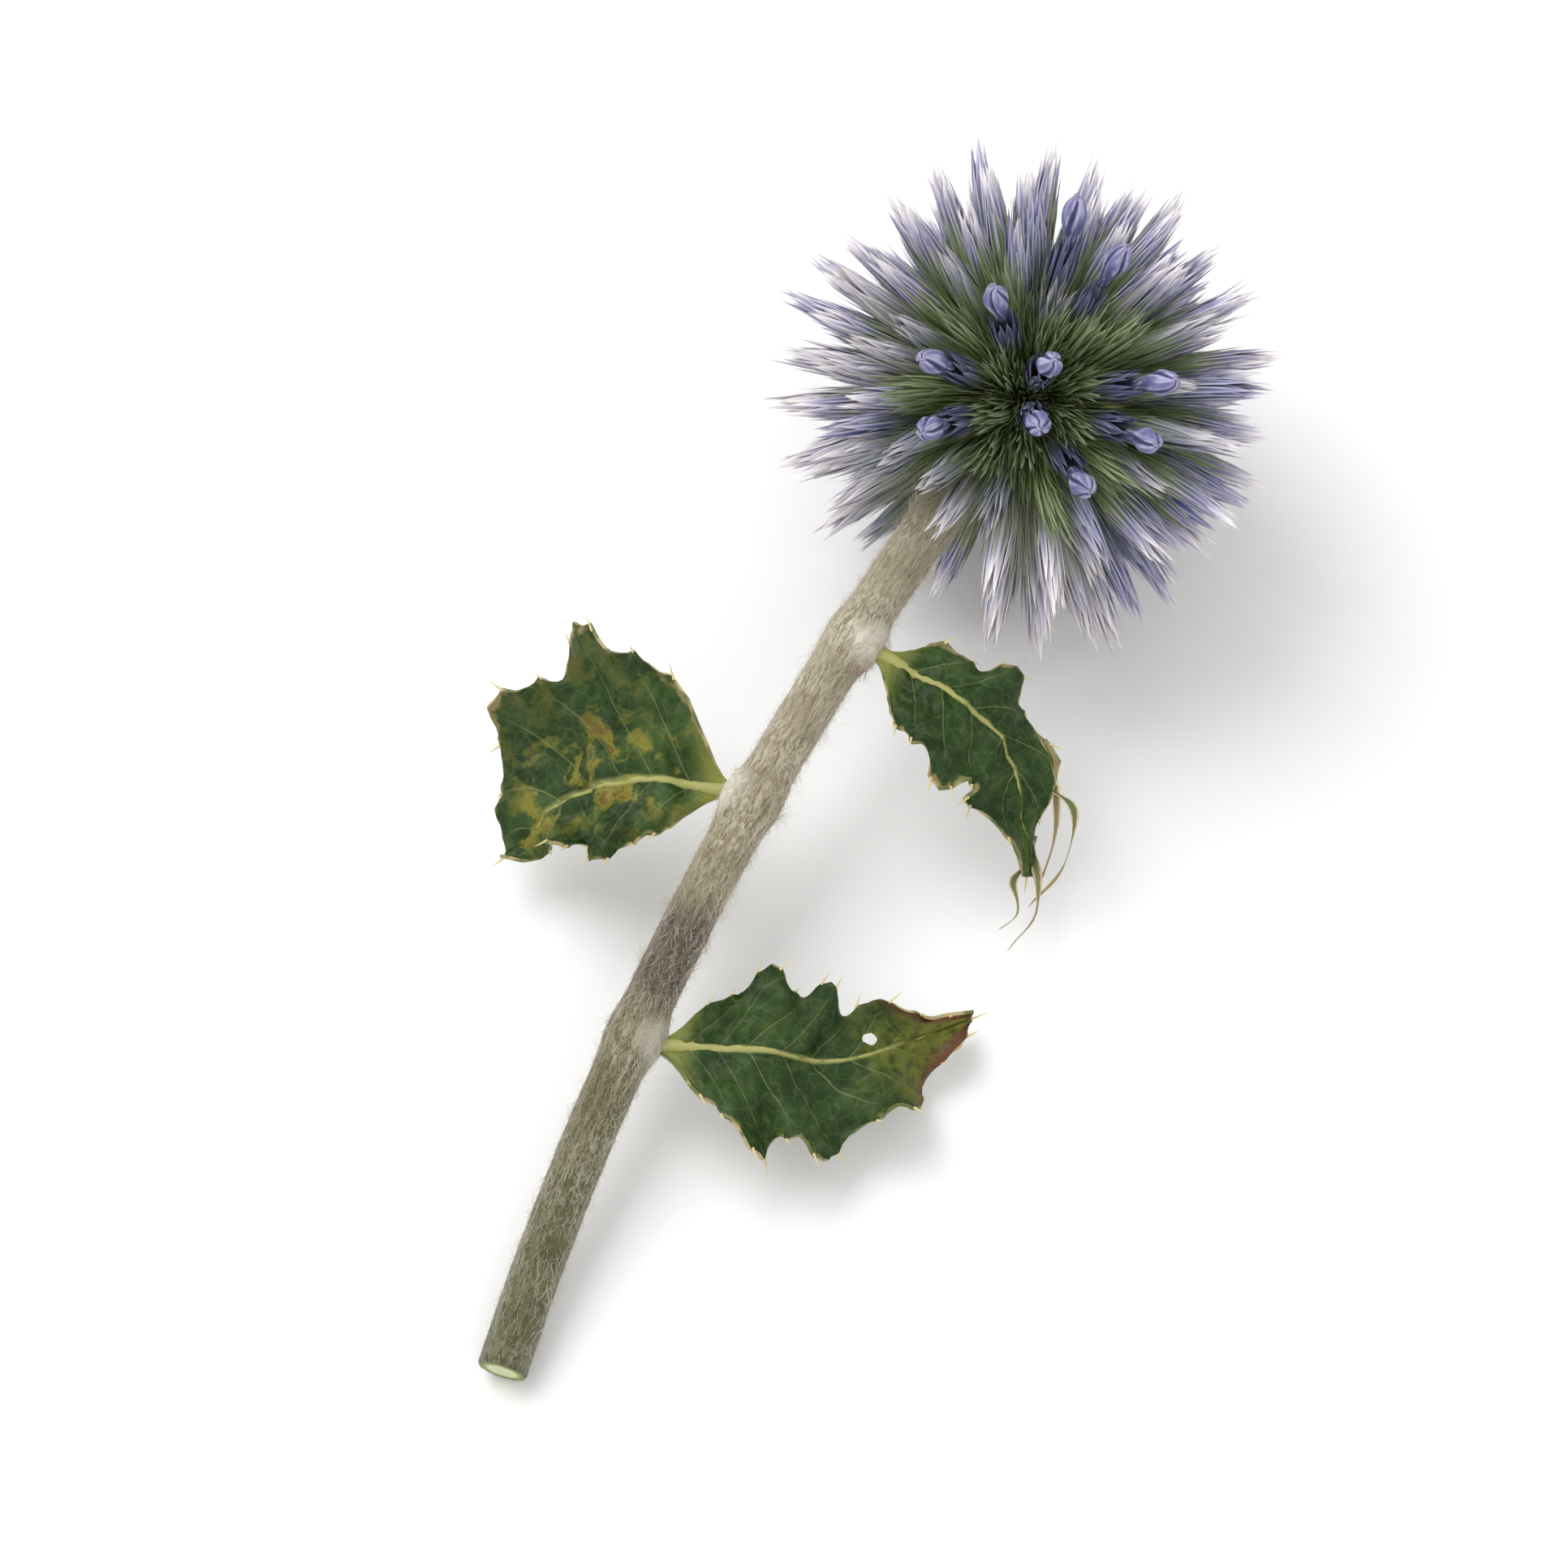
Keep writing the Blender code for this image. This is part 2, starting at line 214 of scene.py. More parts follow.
class Shade:
    # a material with its own named tones; all its nodes are added here
    def __init__(self, name, tones=None, **surface):
        self.tones = tones
        self.material = bpy.data.materials.new(name)
        self.material.use_nodes = True
        self.tree = self.material.node_tree
        self.surface = self.tree.nodes["Principled BSDF"]
        for socket, value in surface.items():
            self.surface.inputs[socket.replace("_", " ")].default_value = value

    def add(self, kind, settings=None, inputs=(), out=0):
        node = self.tree.nodes.new("ShaderNode" + kind)
        for key, value in (settings or {}).items():
            setattr(node, key, value)
        for key, value in inputs.items() if isinstance(inputs, dict) else enumerate(inputs):
            if isinstance(value, Flow):
                self.tree.links.new(value.socket, node.inputs[key])
            else:
                node.inputs[key].default_value = value
        return Flow(self, node.outputs[out])

    def spot(self):
        return self.add("TexCoord", out="Object")

    def map(self, name):
        # the two ways over a piece's own UV map
        parts = self.add("SeparateXYZ", None, [self.add("UVMap", {"uv_map": name})])
        return [Flow(self, socket) for socket in parts.socket.node.outputs[:2]]

    def join(self, x, y, z=0.0):
        return self.add("CombineXYZ", None, [x, y, z])

    def noise(self, spot, scale, detail, **more):
        return self.add("TexNoise", None,
                        {"Vector": spot, "Scale": scale, "Detail": detail, **more})

    def ramp(self, value, name):
        # a tone that changes along a value; its stops are place, red, green, blue
        flow = self.add("ValToRGB", None, [value])
        elements = flow.socket.node.color_ramp.elements
        while len(elements) < len(self.tones[name]):
            elements.new(0.5)
        for element, (place, *colour) in zip(elements, self.tones[name]):
            element.position = place
            element.color = (*tone(*colour), 1.0)
        return flow

    def light(self, colour):
        return colour if isinstance(colour, Flow) else (*tone(*self.tones[colour][:3]), 1.0)

    def start(self, colour):
        self.colour = self.light(colour)

    def paint(self, colour, share):
        # laid over what is there; a tone's fourth number says how thickly
        if colour in self.tones:
            for thickness in self.tones[colour][3:]:
                share = share * thickness
        self.colour = self.add("Mix", {"data_type": "RGBA"},
                               {0: share, 6: self.colour, 7: self.light(colour)}, out=2)

    def relief(self, height, strength, depth):
        return self.add("Bump", None,
                        {"Strength": strength, "Distance": depth, "Height": height})

    def close(self, **flows):
        # the colour and whatever else changes over the surface
        for socket, flow in {"Base Color": self.colour, **flows}.items():
            self.tree.links.new(flow.socket, self.surface.inputs[socket])
        return self.material


# Head, stem and leaves stand where the frame has them, so these measures are the part's own.
head = {
    "radius": 25.0 * mm,
    "centre": Vector((3.16, 39.69, 23.4)) * mm,
    "roll": math.radians(122.0),
    "core": 6.0 * mm,
    "places": 190,
    "bareAngle": math.radians(27.5),
    "tufts": 45,
    "shortest": 0.95,
    "lean": math.tan(math.radians(1.0)),
    "seed": 11,
}
stem = {
    "length": 106.0 * mm,
    "radius": 2.3 * mm,
    "neckRadius": 2.0 * mm,
    "neckEnd": 11.0 * mm,
    "headingStart": math.radians(10.0),
    "headingEnd": math.radians(-11.0),
    "step": 3.0 * mm,
    "nodeSwell": 0.35 * mm,
    "nodeReach": 4.0 * mm,
}
# Each leaf: where on the stem (mm) and on which side, its midrib from the foot (mm), where its
# face looks at foot and tip, half widths (mm) towards head and cut, how it curls and waves,
# how far out it is dry, and how much cotton lies round its foot
leaves = {
    "upper": {
        "at": 28.5, "side": 1, "midrib": ((0, 0, 0), (8, -1, 0.5), (15, -2, -4), (20, -8, -13)),
        "faces": ((-0.2, -0.2, 1.0), (0.7, 0.0, 0.8)), "halfWidths": (5.0, 8.0),
        "curl": 0.2, "wave": 1.0, "lobes": 3.5, "seed": 3.0, "dryFrom": 0.97, "cotton": 0.85,
    },
    "middle": {
        "at": 47.0, "side": -1,
        "midrib": ((0, 0, 0), (-7, -3, 0.5), (-13, -6, -3), (-17, -12, -8)),
        "faces": ((0.2, -0.4, 1.0), (-0.5, -0.3, 1.0)), "halfWidths": (13.0, 7.5),
        "curl": 0.3, "wave": 1.4, "lobes": 3.5, "seed": 17.0, "dryFrom": 1.0, "cotton": 0.85,
    },
    "lower": {
        "at": 72.0, "side": 1, "midrib": ((0, 0, 0), (7, 3, 1), (15, 8, -2), (22, 19, -6)),
        "faces": ((-0.1, -0.3, 1.0), (0.2, -0.3, 1.0)), "halfWidths": (7.0, 9.5),
        "curl": 0.15, "wave": 1.2, "lobes": 4.5, "seed": 29.0, "dryFrom": 1.03, "cotton": 0.45,
        "hole": {"share": 0.74, "across": -0.3, "radius": 0.7 * mm},
    },
}
goldenAngle = math.pi * (3.0 - math.sqrt(5.0))


def stemPath():
    # from the head's centre down to the cut, whose lower edge lies on the table
    place = head["centre"].copy()
    length, radius = stem["length"], stem["radius"]
    slope = math.asin((place.z - radius) / length)
    slope = math.asin((place.z - radius * math.cos(slope)) / length)
    steps = round(length / stem["step"])
    points = []
    for index in range(steps + 1):
        points.append(place.copy())
        share = min((index + 0.5) / steps, 1.0)
        heading = stem["headingStart"] + (stem["headingEnd"] - stem["headingStart"]) * share
        way = Vector((-math.sin(heading), -math.cos(heading), 0.0)) * math.cos(slope)
        way.z = -math.sin(slope)
        place += way * (length / steps)
    return points


path = stemPath()


def stemPoint(distance):
    step = stem["length"] / (len(path) - 1)
    if distance <= 0:
        return path[0] + (path[0] - path[1]) / step * -distance
    index = min(int(distance / step), len(path) - 2)
    return path[index].lerp(path[index + 1], distance / step - index)


def stemRadius(distance):
    core = math.sqrt(max(head["core"] ** 2 - distance ** 2, 0.0))
    if distance < 0:
        return core
    neck = clamp((distance - head["core"]) / (stem["neckEnd"] - head["core"]))
    radius = stem["neckRadius"] + (stem["radius"] - stem["neckRadius"]) * neck
    for leaf in leaves.values():
        gap = abs(distance - leaf["at"] * mm) / stem["nodeReach"]
        if gap < 1.0:
            radius += stem["nodeSwell"] * (0.5 + 0.5 * math.cos(math.pi * gap))
    return max(core, radius)


def spiralWay(index, count, lowest=-1.0):
    height = 1.0 - (1.0 - lowest) * (index + 0.5) / count
    ring = math.sqrt(1.0 - height * height)
    turn = goldenAngle * index
    return Vector((ring * math.cos(turn), ring * math.sin(turn), height))


headTurn = (path[0] - path[2]).normalized().to_track_quat("Z", "Y").to_matrix()
headTurn = headTurn @ Matrix.Rotation(head["roll"], 3, "Z")


def floretPlaces():
    # way and length of each floret; none grow round the stem
    rng = random.Random(head["seed"])
    found = []
    for index in range(head["places"]):
        way = spiralWay(index, head["places"])
        lean = Vector([rng.uniform(-1, 1) for _ in range(3)]) * head["lean"]
        length = rng.uniform(head["shortest"], 1.0) * head["radius"]
        if way.z > -math.cos(head["bareAngle"]):
            found.append(((headTurn @ (way + lean)).normalized(), length))
    return found


def tuftGroups(florets):
    # each floret belongs to the tuft whose middle is nearest
    count, lowest = head["tufts"], -math.cos(head["bareAngle"])
    middles = [headTurn @ spiralWay(index, count, lowest) for index in range(count)]
    tufts = [[] for _ in middles]
    for index, (way, _) in enumerate(florets):
        tufts[max(range(count), key=lambda number: middles[number].dot(way))].append(index)
    return tufts


# Rings of a bract: share of its length, half width and half thickness (mm)
bracts = {
    "inner": {"sides": 4, "rings": (
        (0.0, 0.14, 0.09), (0.30, 0.18, 0.11), (0.58, 0.31, 0.15), (0.78, 0.31, 0.12),
        (0.90, 0.18, 0.08), (1.0, 0.015))},
    "middle": {"sides": 4, "rings": (
        (0.0, 0.12, 0.08), (0.3, 0.18, 0.10), (0.64, 0.29, 0.12), (0.84, 0.23, 0.09),
        (1.0, 0.015))},
    "outer": {"sides": 4, "rings": (
        (0.0, 0.10, 0.06), (0.45, 0.16, 0.08), (0.75, 0.16, 0.07), (1.0, 0.015))},
    "bristle": {"sides": 3, "rings": ((0.0, 0.07), (0.5, 0.065), (1.0, 0.012))},
}
kinds = list(bracts)
# The strip of colours has a column for each kind of bract, group of florets and variant. Its
# height runs from a bract's foot to its tip, its width from margin to margin.
strip = {
    "groups": ("blue", "violet", "pale", "dusky", "middling", "green"),
    "variants": 3,
    "inset": 0.8,
}
perKind = len(strip["groups"]) * strip["variants"]
columns = len(kinds) * perKind

# Rows of a floret, from the inside out: bract, number, length and its spread, distance from
# the floret's axis at foot, belly and tip, spread of the tip, where the belly lies, slimness
floretAges = {
    "grown": {"forms": 7, "rows": (
        ("inner", 3, 17.8, 1.2, (0.10, 0.36, 0.26), 0.20, 0.62, 1.1),
        ("inner", 8, 18.6, 1.5, (0.30, 0.84, 0.46), 0.34, 0.62, 1.15),
        ("middle", 11, 17.0, 2.0, (0.42, 1.16, 0.74), 0.40, 0.62, 1.1),
        ("outer", 14, 15.0, 3.6, (0.50, 1.30, 1.16), 0.40, 0.62, 0.95),
        ("bristle", 32, 11.0, 3.4, (0.55, 1.30, 1.60), 0.50, 0.60, 1.15))},
    "young": {"forms": 4, "rows": (
        ("inner", 6, 17.6, 2.0, (0.10, 0.40, 0.50), 0.40, 0.60, 0.42),
        ("inner", 16, 18.2, 3.2, (0.30, 0.95, 1.05), 0.80, 0.55, 0.42),
        ("middle", 20, 15.8, 3.4, (0.42, 1.25, 1.60), 0.70, 0.55, 0.42),
        ("outer", 20, 13.0, 3.2, (0.50, 1.40, 2.00), 0.70, 0.60, 0.55),
        ("bristle", 56, 11.8, 4.2, (0.55, 1.45, 2.40), 0.80, 0.60, 1.5))},
    "budded": {"forms": 2, "rows": (
        ("inner", 14, 13.8, 1.2, (0.30, 1.00, 1.00), 0.20, 0.62, 0.75),
        ("middle", 15, 12.8, 1.5, (0.42, 1.22, 1.36), 0.25, 0.62, 0.75),
        ("outer", 13, 11.2, 2.2, (0.50, 1.38, 1.60), 0.40, 0.70, 0.8),
        ("bristle", 40, 10.8, 3.4, (0.55, 1.36, 1.95), 0.60, 0.60, 1.15))},
}
growth = {
    "formSeed": 5,
    "seed": 23,
    "turnSpread": 0.3,        # of the room between two bracts of a row
    "longer": 0.3,            # of the spread in length, for the longest bracts
    "tipShift": (-0.6, 1.0),  # of the spread of the tip
    "sway": 0.6,
    "bend": 1.0,
    "sunk": 0.1 * mm,
    "needly": 0.5,            # chance that a middling floret is a young one
    "longest": 1.04,          # of the floret's length, with few much shorter ones
    "reachSpread": 0.17,
    "reachLean": 1.6,
}
# Florets round this way are the youngest, shorter and green; angles in degrees
youngest = {
    "way": Vector((0.238, -0.440, 0.866)), "from": 60.0, "to": 18.0, "shorter": 0.2,
    "unsure": 0.16, "greenFrom": 0.5, "middlingFrom": 0.13,
}
# Full-grown florets near the stem are mostly pale, the others blue or violet
grownTint = {"unsure": 0.7, "paleFrom": 0.4, "blueShare": 0.6}


def modelBract(kind):
    # a bract one unit long, with its colour strip laid out from foot to tip
    piece = drawOut("bract_" + kind, bracts[kind]["sides"], bracts[kind]["rings"])
    spots = places(piece).tolist()
    widest = {}
    for x, _, z in spots:
        widest[round(z, 3)] = max(widest.get(round(z, 3), 1e-9), abs(x))

    def stripSpot(vertex):
        x, _, z = spots[vertex]
        return 0.5 + 0.5 * x / widest[round(z, 3)], z

    mapPiece(piece, "OFBake", stripSpot)
    return piece


def bendBract(piece, length, distances, bellyAt, tipShift, sway, turn, slimness):
    # foot, belly and tip lie at their distances from the floret's axis
    spots = places(piece)
    spots[:, :2] *= slimness
    share = spots[:, 2].copy()
    foot, belly, tip = distances
    rise = ease(clamp(share / bellyAt))
    fall = clamp((share - bellyAt) / (1.0 - bellyAt))
    away = foot + (belly - foot) * rise + (tip + tipShift - belly) * fall ** 1.6
    x = spots[:, 0] + sway * fall ** 2 * mm
    y = spots[:, 1] + away * mm
    spots[:, 0] = x * math.cos(turn) - y * math.sin(turn)
    spots[:, 1] = x * math.sin(turn) + y * math.cos(turn)
    spots[:, 2] = share * length * mm
    putPlaces(piece, spots)


def shiftOnStrip(piece, change):
    # changes how far across the strip a piece takes its colours
    layer = piece.data.uv_layers["OFBake"]
    flat = np.empty(len(layer.data) * 2, np.float32)
    layer.data.foreach_get("uv", flat)
    flat[0::2] = change(flat[0::2])
    layer.data.foreach_set("uv", flat)


def growFloret(name, rows, masters, rng):
    grown = []
    for kind, count, length, lengthSpread, distances, tipSpread, bellyAt, slimness in rows:
        start = rng.uniform(0.0, math.tau)
        for index in range(count):
            piece = copyPiece(masters[kind], f"{name}_{kind}_{index}")
            jitter = rng.uniform(-growth["turnSpread"], growth["turnSpread"])
            turn = start + math.tau * (index + jitter) / count
            longer = rng.uniform(-lengthSpread, growth["longer"] * lengthSpread)
            tipShift = rng.uniform(*growth["tipShift"]) * tipSpread
            sway = rng.uniform(-growth["sway"], growth["sway"])
            bendBract(piece, length + longer, distances, bellyAt, tipShift, sway, turn, slimness)
            column = kinds.index(kind) * perKind + rng.randrange(strip["variants"])
            shiftOnStrip(piece, lambda across: (
                column + 0.5 + (across - 0.5) * strip["inset"]) / columns)
            grown.append(piece)
    form = joinPieces(grown, name)
    # hardly any floret is quite straight
    spots = places(form)
    share = spots[:, 2] / (head["radius"] - head["core"])
    for axis in (0, 1):
        spots[:, axis] += rng.uniform(-growth["bend"], growth["bend"]) * mm * share ** 2
    putPlaces(form, spots)
    return form


bractTones = {
    # from foot to tip: place, red, green, blue
    "inner": ((0.0, 122, 138, 84), (0.40, 118, 134, 86), (0.50, 100, 108, 114),
              (0.60, 88, 91, 138), (0.72, 108, 109, 162), (0.84, 146, 144, 186),
              (0.92, 196, 192, 210), (1.0, 238, 233, 234)),
    "middle": ((0.0, 122, 140, 88), (0.56, 122, 142, 88), (0.67, 112, 124, 102),
               (0.75, 106, 110, 144), (0.85, 140, 139, 176), (0.93, 192, 188, 204),
               (1.0, 242, 236, 230)),
    "outer": ((0.0, 112, 132, 80), (0.50, 118, 142, 84), (0.80, 134, 150, 104),
              (1.0, 184, 184, 158)),
    "bristle": ((0.0, 118, 134, 84), (0.6, 132, 148, 96), (1.0, 172, 174, 134)),
    "grey": ((0.0, 88, 96, 62), (0.50, 108, 118, 82), (0.75, 142, 142, 142),
             (1.0, 216, 210, 204)),
    "violet": ((0.0, 104, 118, 72), (0.42, 98, 110, 84), (0.58, 76, 79, 130),
               (0.76, 106, 107, 164), (0.90, 164, 161, 200), (1.0, 222, 216, 228)),
    "pale": ((0.0, 104, 112, 76), (0.45, 128, 134, 110), (0.72, 180, 176, 184),
             (0.9, 222, 216, 216), (1.0, 244, 238, 232)),
    "dusky": ((0.0, 94, 110, 72), (0.5, 88, 100, 78), (0.70, 80, 84, 112),
              (0.87, 88, 90, 134), (1.0, 130, 129, 160)),
    "middling": ((0.0, 124, 144, 92), (0.5, 122, 144, 92), (0.78, 132, 144, 120),
                 (1.0, 176, 172, 168)),
    "green": ((0.0, 138, 158, 104), (0.45, 134, 154, 100), (0.75, 136, 152, 104),
              (1.0, 160, 166, 132)),
    "margin": (232, 226, 232, 0.62),
    "keel": (52, 56, 84),
}
# How far each group's own tone covers the bracts, and how much less margin and keel show on it
groupShares = {"violet": 0.6, "pale": 0.5, "dusky": 0.85, "middling": 0.5, "green": 0.9}
groupHides = {"dusky": 0.8, "green": 0.9, "middling": 0.6}


def bractShade():
    shade = Shade("bract", bractTones, Roughness=0.62)
    across, along = shade.map("OFBake")
    column = across * columns
    whole = column.math("FLOOR")
    sideways = (column - whole).fromMiddle(strip["inset"])
    kind = (whole / perKind).math("FLOOR")
    group = ((whole - kind * perKind) / strip["variants"]).math("FLOOR")
    chances = [shade.add("TexWhiteNoise", {"noise_dimensions": "1D"},
                         {"W": whole + shift}) for shift in (0.37, 71.7, 113.1)]
    reach = along + (chances[0] - 0.5) * 0.12
    # 1 for that kind and all that lie further out
    beyond = {name: kind.above(number - 0.5, 0.1) for number, name in enumerate(kinds) if number}
    shade.start(shade.ramp(reach, "inner"))
    for name, share in beyond.items():
        shade.paint(shade.ramp(reach, name), share)
    notOuter, notBristle = 1.0 - beyond["outer"], 1.0 - beyond["bristle"]
    # some bracts are greyer than their neighbours
    shade.paint(shade.ramp(reach, "grey"), chances[1].above(0.62, 0.2) * notBristle * 0.7)
    inGroup = {}
    for name, share in groupShares.items():
        number = strip["groups"].index(name)
        inGroup[name] = group.above(number - 0.5, 0.1) * group.below(number + 0.5, 0.1)
        amount = inGroup[name] * share
        if name == "dusky":
            amount = amount * notBristle * (1.0 - beyond["outer"] * 0.6)
        shade.paint(shade.ramp(reach, name), amount)
    # margins are pale and thin, the keel keeps the colour
    bare = 1.0
    for name, share in groupHides.items():
        bare = bare - inGroup[name] * share
    margin = sideways.above(0.60, 0.22) * along.above(0.50, 0.2) * notOuter * bare
    shade.paint("margin", margin)
    keel = sideways.below(0.22, 0.16) * notBristle * along.below(0.85, 0.1)
    shade.paint("keel", keel * 0.35 * bare)
    fibre = shade.noise(shade.join(column * 4.5, along * 3.0), 1.0, 2.0)
    shade.start(shade.add("HueSaturation", None, {
        "Hue": 0.5 + (chances[1] - 0.5) * 0.03, "Saturation": 0.9 + chances[2] * 0.3,
        "Value": 0.55 + chances[0] * 0.34 + fibre * 0.52, "Fac": 1.0, "Color": shade.colour}))
    return shade.close()


print("modelling bracts")
masters = {kind: modelBract(kind) for kind in bracts}
formRng = random.Random(growth["formSeed"])
forms = {age: [growFloret(f"{age}Floret{number}", spec["rows"], masters, formRng)
               for number in range(spec["forms"])] for age, spec in floretAges.items()}
removePieces(masters.values())
bractMaterial = bractShade()
for form in sum(forms.values(), []):
    form.data.materials.append(bractMaterial)

# Headings are degrees round the head and above the table; rings are share of the length and
# of the half width
bud = {
    "headings": ((-51, 66), (-59, 52), (-112, 58), (-112, 79), (-6, 48),
                 (46, 67), (-21, 38), (-98, 43), (89, 66), (-46, 34)),
    "seat": 17.9 * mm,
    "length": 5.8 * mm,
    "halfWidth": 1.2 * mm,
    "sides": 40,
    "rings": ((0.0, 0.46), (0.14, 0.50), (0.28, 0.62), (0.40, 0.79), (0.52, 0.94), (0.62, 1.0),
              (0.72, 0.96), (0.81, 0.82), (0.89, 0.62), (0.95, 0.42), (0.985, 0.24)),
    "foldDepth": 0.3,
    "foldFrom": 0.3,
    "foldRise": 0.3,
    "foldEdge": 0.55,
    "ripples": 7.0,
    "rippleDepth": 0.03,
    "rippleRise": 0.4,
    "rippleTwist": 9.0,
    "lobeFrom": 0.72,
    "lobeReach": 0.55 * mm,
    "lobeLevel": 0.6,
    "mapWidth": 1.2,
    "forms": ({"lobes": 4, "twist": 0.42, "tilt": 0.3},
              {"lobes": 3, "twist": -0.3, "tilt": -0.45}),
}


def budPlaces(found):
    # each bud stands on the floret nearest to its heading
    chosen = []
    for heading, height in bud["headings"]:
        turn, rise = math.radians(heading), math.radians(height)
        way = Vector((math.cos(rise) * math.cos(turn), math.cos(rise) * math.sin(turn),
                      math.sin(rise)))
        free = [index for index in range(len(found)) if index not in chosen]
        chosen.append(max(free, key=lambda index: found[index][0].dot(way)))
    return chosen


def youth(way):
    # 1 for the youngest florets, 0 for those full grown
    angle = math.degrees(way.angle(youngest["way"]))
    return ease(clamp((youngest["from"] - angle) / (youngest["from"] - youngest["to"])))


def groupOf(way, isBudded, rng):
    young = youth(way) + rng.uniform(-youngest["unsure"], youngest["unsure"])
    if isBudded:
        return "dusky"
    if young > youngest["greenFrom"]:
        return "green"
    if young > youngest["middlingFrom"]:
        return "middling"
    stemward = -way.dot(headTurn.col[2])
    if stemward + rng.uniform(-grownTint["unsure"], grownTint["unsure"]) > grownTint["paleFrom"]:
        return "pale"
    return "blue" if rng.random() < grownTint["blueShare"] else "violet"


def placeFloret(form, name, way, reach, roll):
    # fitted between the core and its reach
    piece = copyPiece(form, name)
    spots = places(piece)
    spots[:, 2] *= (reach - head["core"]) / (head["radius"] - head["core"])
    spots[:, 2] += head["core"] - growth["sunk"]
    stand(piece, spots, way, head["centre"], roll)
    return piece


def growTuft(number, members, rng):
    grown = []
    for index in members:
        way, length = found[index]
        isBudded = index in budded
        overTable = -way.z * head["radius"] < head["centre"].z
        group = groupOf(way, isBudded, rng)
        isYoung = group == "green" or (group == "middling" and rng.random() < growth["needly"])
        choice = forms["budded" if isBudded else "young" if isYoung else "grown"]
        form = choice[rng.randrange(len(choice))]
        reach = length
        if not isBudded:
            reach *= 1.0 - youngest["shorter"] * youth(way)
        if overTable:
            spread = growth["reachSpread"] * rng.random() ** growth["reachLean"]
            reach *= growth["longest"] - spread
        elif not isBudded:
            reach = head["centre"].z / -way.z
        floret = placeFloret(form, f"floret_{index}", way, reach, rng.uniform(0.0, math.tau))
        shift = strip["groups"].index(group) * strip["variants"] / columns
        shiftOnStrip(floret, lambda across: across + shift)
        grown.append(floret)
    tuft = joinPieces(grown, f"floretTuft{number:02d}")
    finishPiece(tuft, "floret", 50, f"floret_tuft_{number:02d}")


print("growing florets")
found = floretPlaces()
budded = budPlaces(found)
growRng = random.Random(growth["seed"])
for number, members in enumerate(tuftGroups(found), start=1):
    growTuft(number, members, growRng)
removePieces(sum(forms.values(), []))

budTones = {
    "petal": ((0.0, 58, 60, 92), (0.35, 76, 78, 120), (0.62, 104, 105, 148),
              (0.9, 134, 132, 170), (1.0, 142, 137, 166)),
    "pale": (186, 182, 204, 0.55),
    "dark": (80, 82, 130, 0.5),
    # painted shade: darkens the creases between the bud's folded lobes
    "creaseShade": (50, 51, 92, 0.9),
    # painted highlight: a pale band where each lobe rounds over towards its crease
    "edge": (190, 186, 208, 0.55),
}


def budShade(form):
    shade = Shade("budPetal", budTones, Roughness=0.72, Specular_IOR_Level=0.3)
    around, along = shade.map("OFBake")
    turns = around * bud["mapWidth"] * form["lobes"] + along * along * form["twist"]
    fold = turns.math("FRACT").fromMiddle()
    mottle = shade.noise(shade.join(around * 16.0, along * 3.0), 1.0, 4.0)
    shade.start(shade.ramp(along, "petal"))
    shade.paint("pale", mottle.above(0.56, 0.10))
    shade.paint("dark", mottle.below(0.44, 0.08))
    # painted shade: the creases where the lobes fold in are darkened
    creaseShade = fold.above(0.78, 0.12) * along.above(0.30, 0.2)
    shade.paint("creaseShade", creaseShade * mottle.above(0.36, 0.12))
    # painted highlight: a pale band where each lobe rounds over towards its crease
    edge = fold.above(0.52, 0.12) * fold.below(0.72, 0.08) * along.above(0.45, 0.2)
    shade.paint("edge", edge * mottle.above(0.4, 0.2))
    return shade.close()


def modelBud(form):
    # a club of petal lobes folded over each other
    piece = drawOut("budForm", bud["sides"], bud["rings"], bud["halfWidth"])
    spots = places(piece)
    share = spots[:, 2].copy()
    turns = turnsOf(spots)
    fold = np.abs(np.mod(turns * form["lobes"] + share ** 2 * form["twist"], 1.0) - 0.5) * 2.0
    depth = bud["foldDepth"] * clamp((share - bud["foldFrom"]) / bud["foldRise"])
    pinch = 1.0 - depth * clamp((fold - bud["foldEdge"]) / (1.0 - bud["foldEdge"])) ** 1.4
    ripple = np.sin(turns * math.tau * bud["ripples"] + share * bud["rippleTwist"])
    pinch += bud["rippleDepth"] * ripple * clamp(share / bud["rippleRise"])
    lobe = (bud["lobeLevel"] - fold) * clamp((share - bud["lobeFrom"]) / (1.0 - bud["lobeFrom"]))
    spots[:, 0] = spots[:, 0] * pinch + form["tilt"] * mm * share ** 2
    spots[:, 1] *= pinch
    spots[:, 2] = share * bud["length"] + bud["lobeReach"] * lobe
    putPlaces(piece, spots)
    mapRound(piece, "OFBake", turns,
             lambda _, vertex, turn: (turn / bud["mapWidth"], share[vertex]))
    piece.data.materials.append(budShade(form))
    return piece


print("modelling buds")
budModels = [modelBud(form) for form in bud["forms"]]
for number, index in enumerate(budded, start=1):
    piece = copyPiece(budModels[number % 2], f"bud{number:02d}")
    spots = places(piece)
    spots[:, 2] += bud["seat"]
    roll = growRng.uniform(0.0, math.tau)
    stand(piece, spots, found[index][0], head["centre"], roll)
    finishPiece(piece, "bud", None, f"bud_{number:02d}")
removePieces(budModels)

wrap = {
    "sides": 48,
    "spacing": 1.1 * mm,
    "ribs": 11,
    "ribDepth": 0.025,
    "felt": 0.05 * mm,
    "callusWidth": 0.75,
    "callusReach": 2.0 * mm,
    "callusDepth": 0.55 * mm,
    "cutRings": (0.95, 0.82, 0.62, 0.35, 0.1),
}
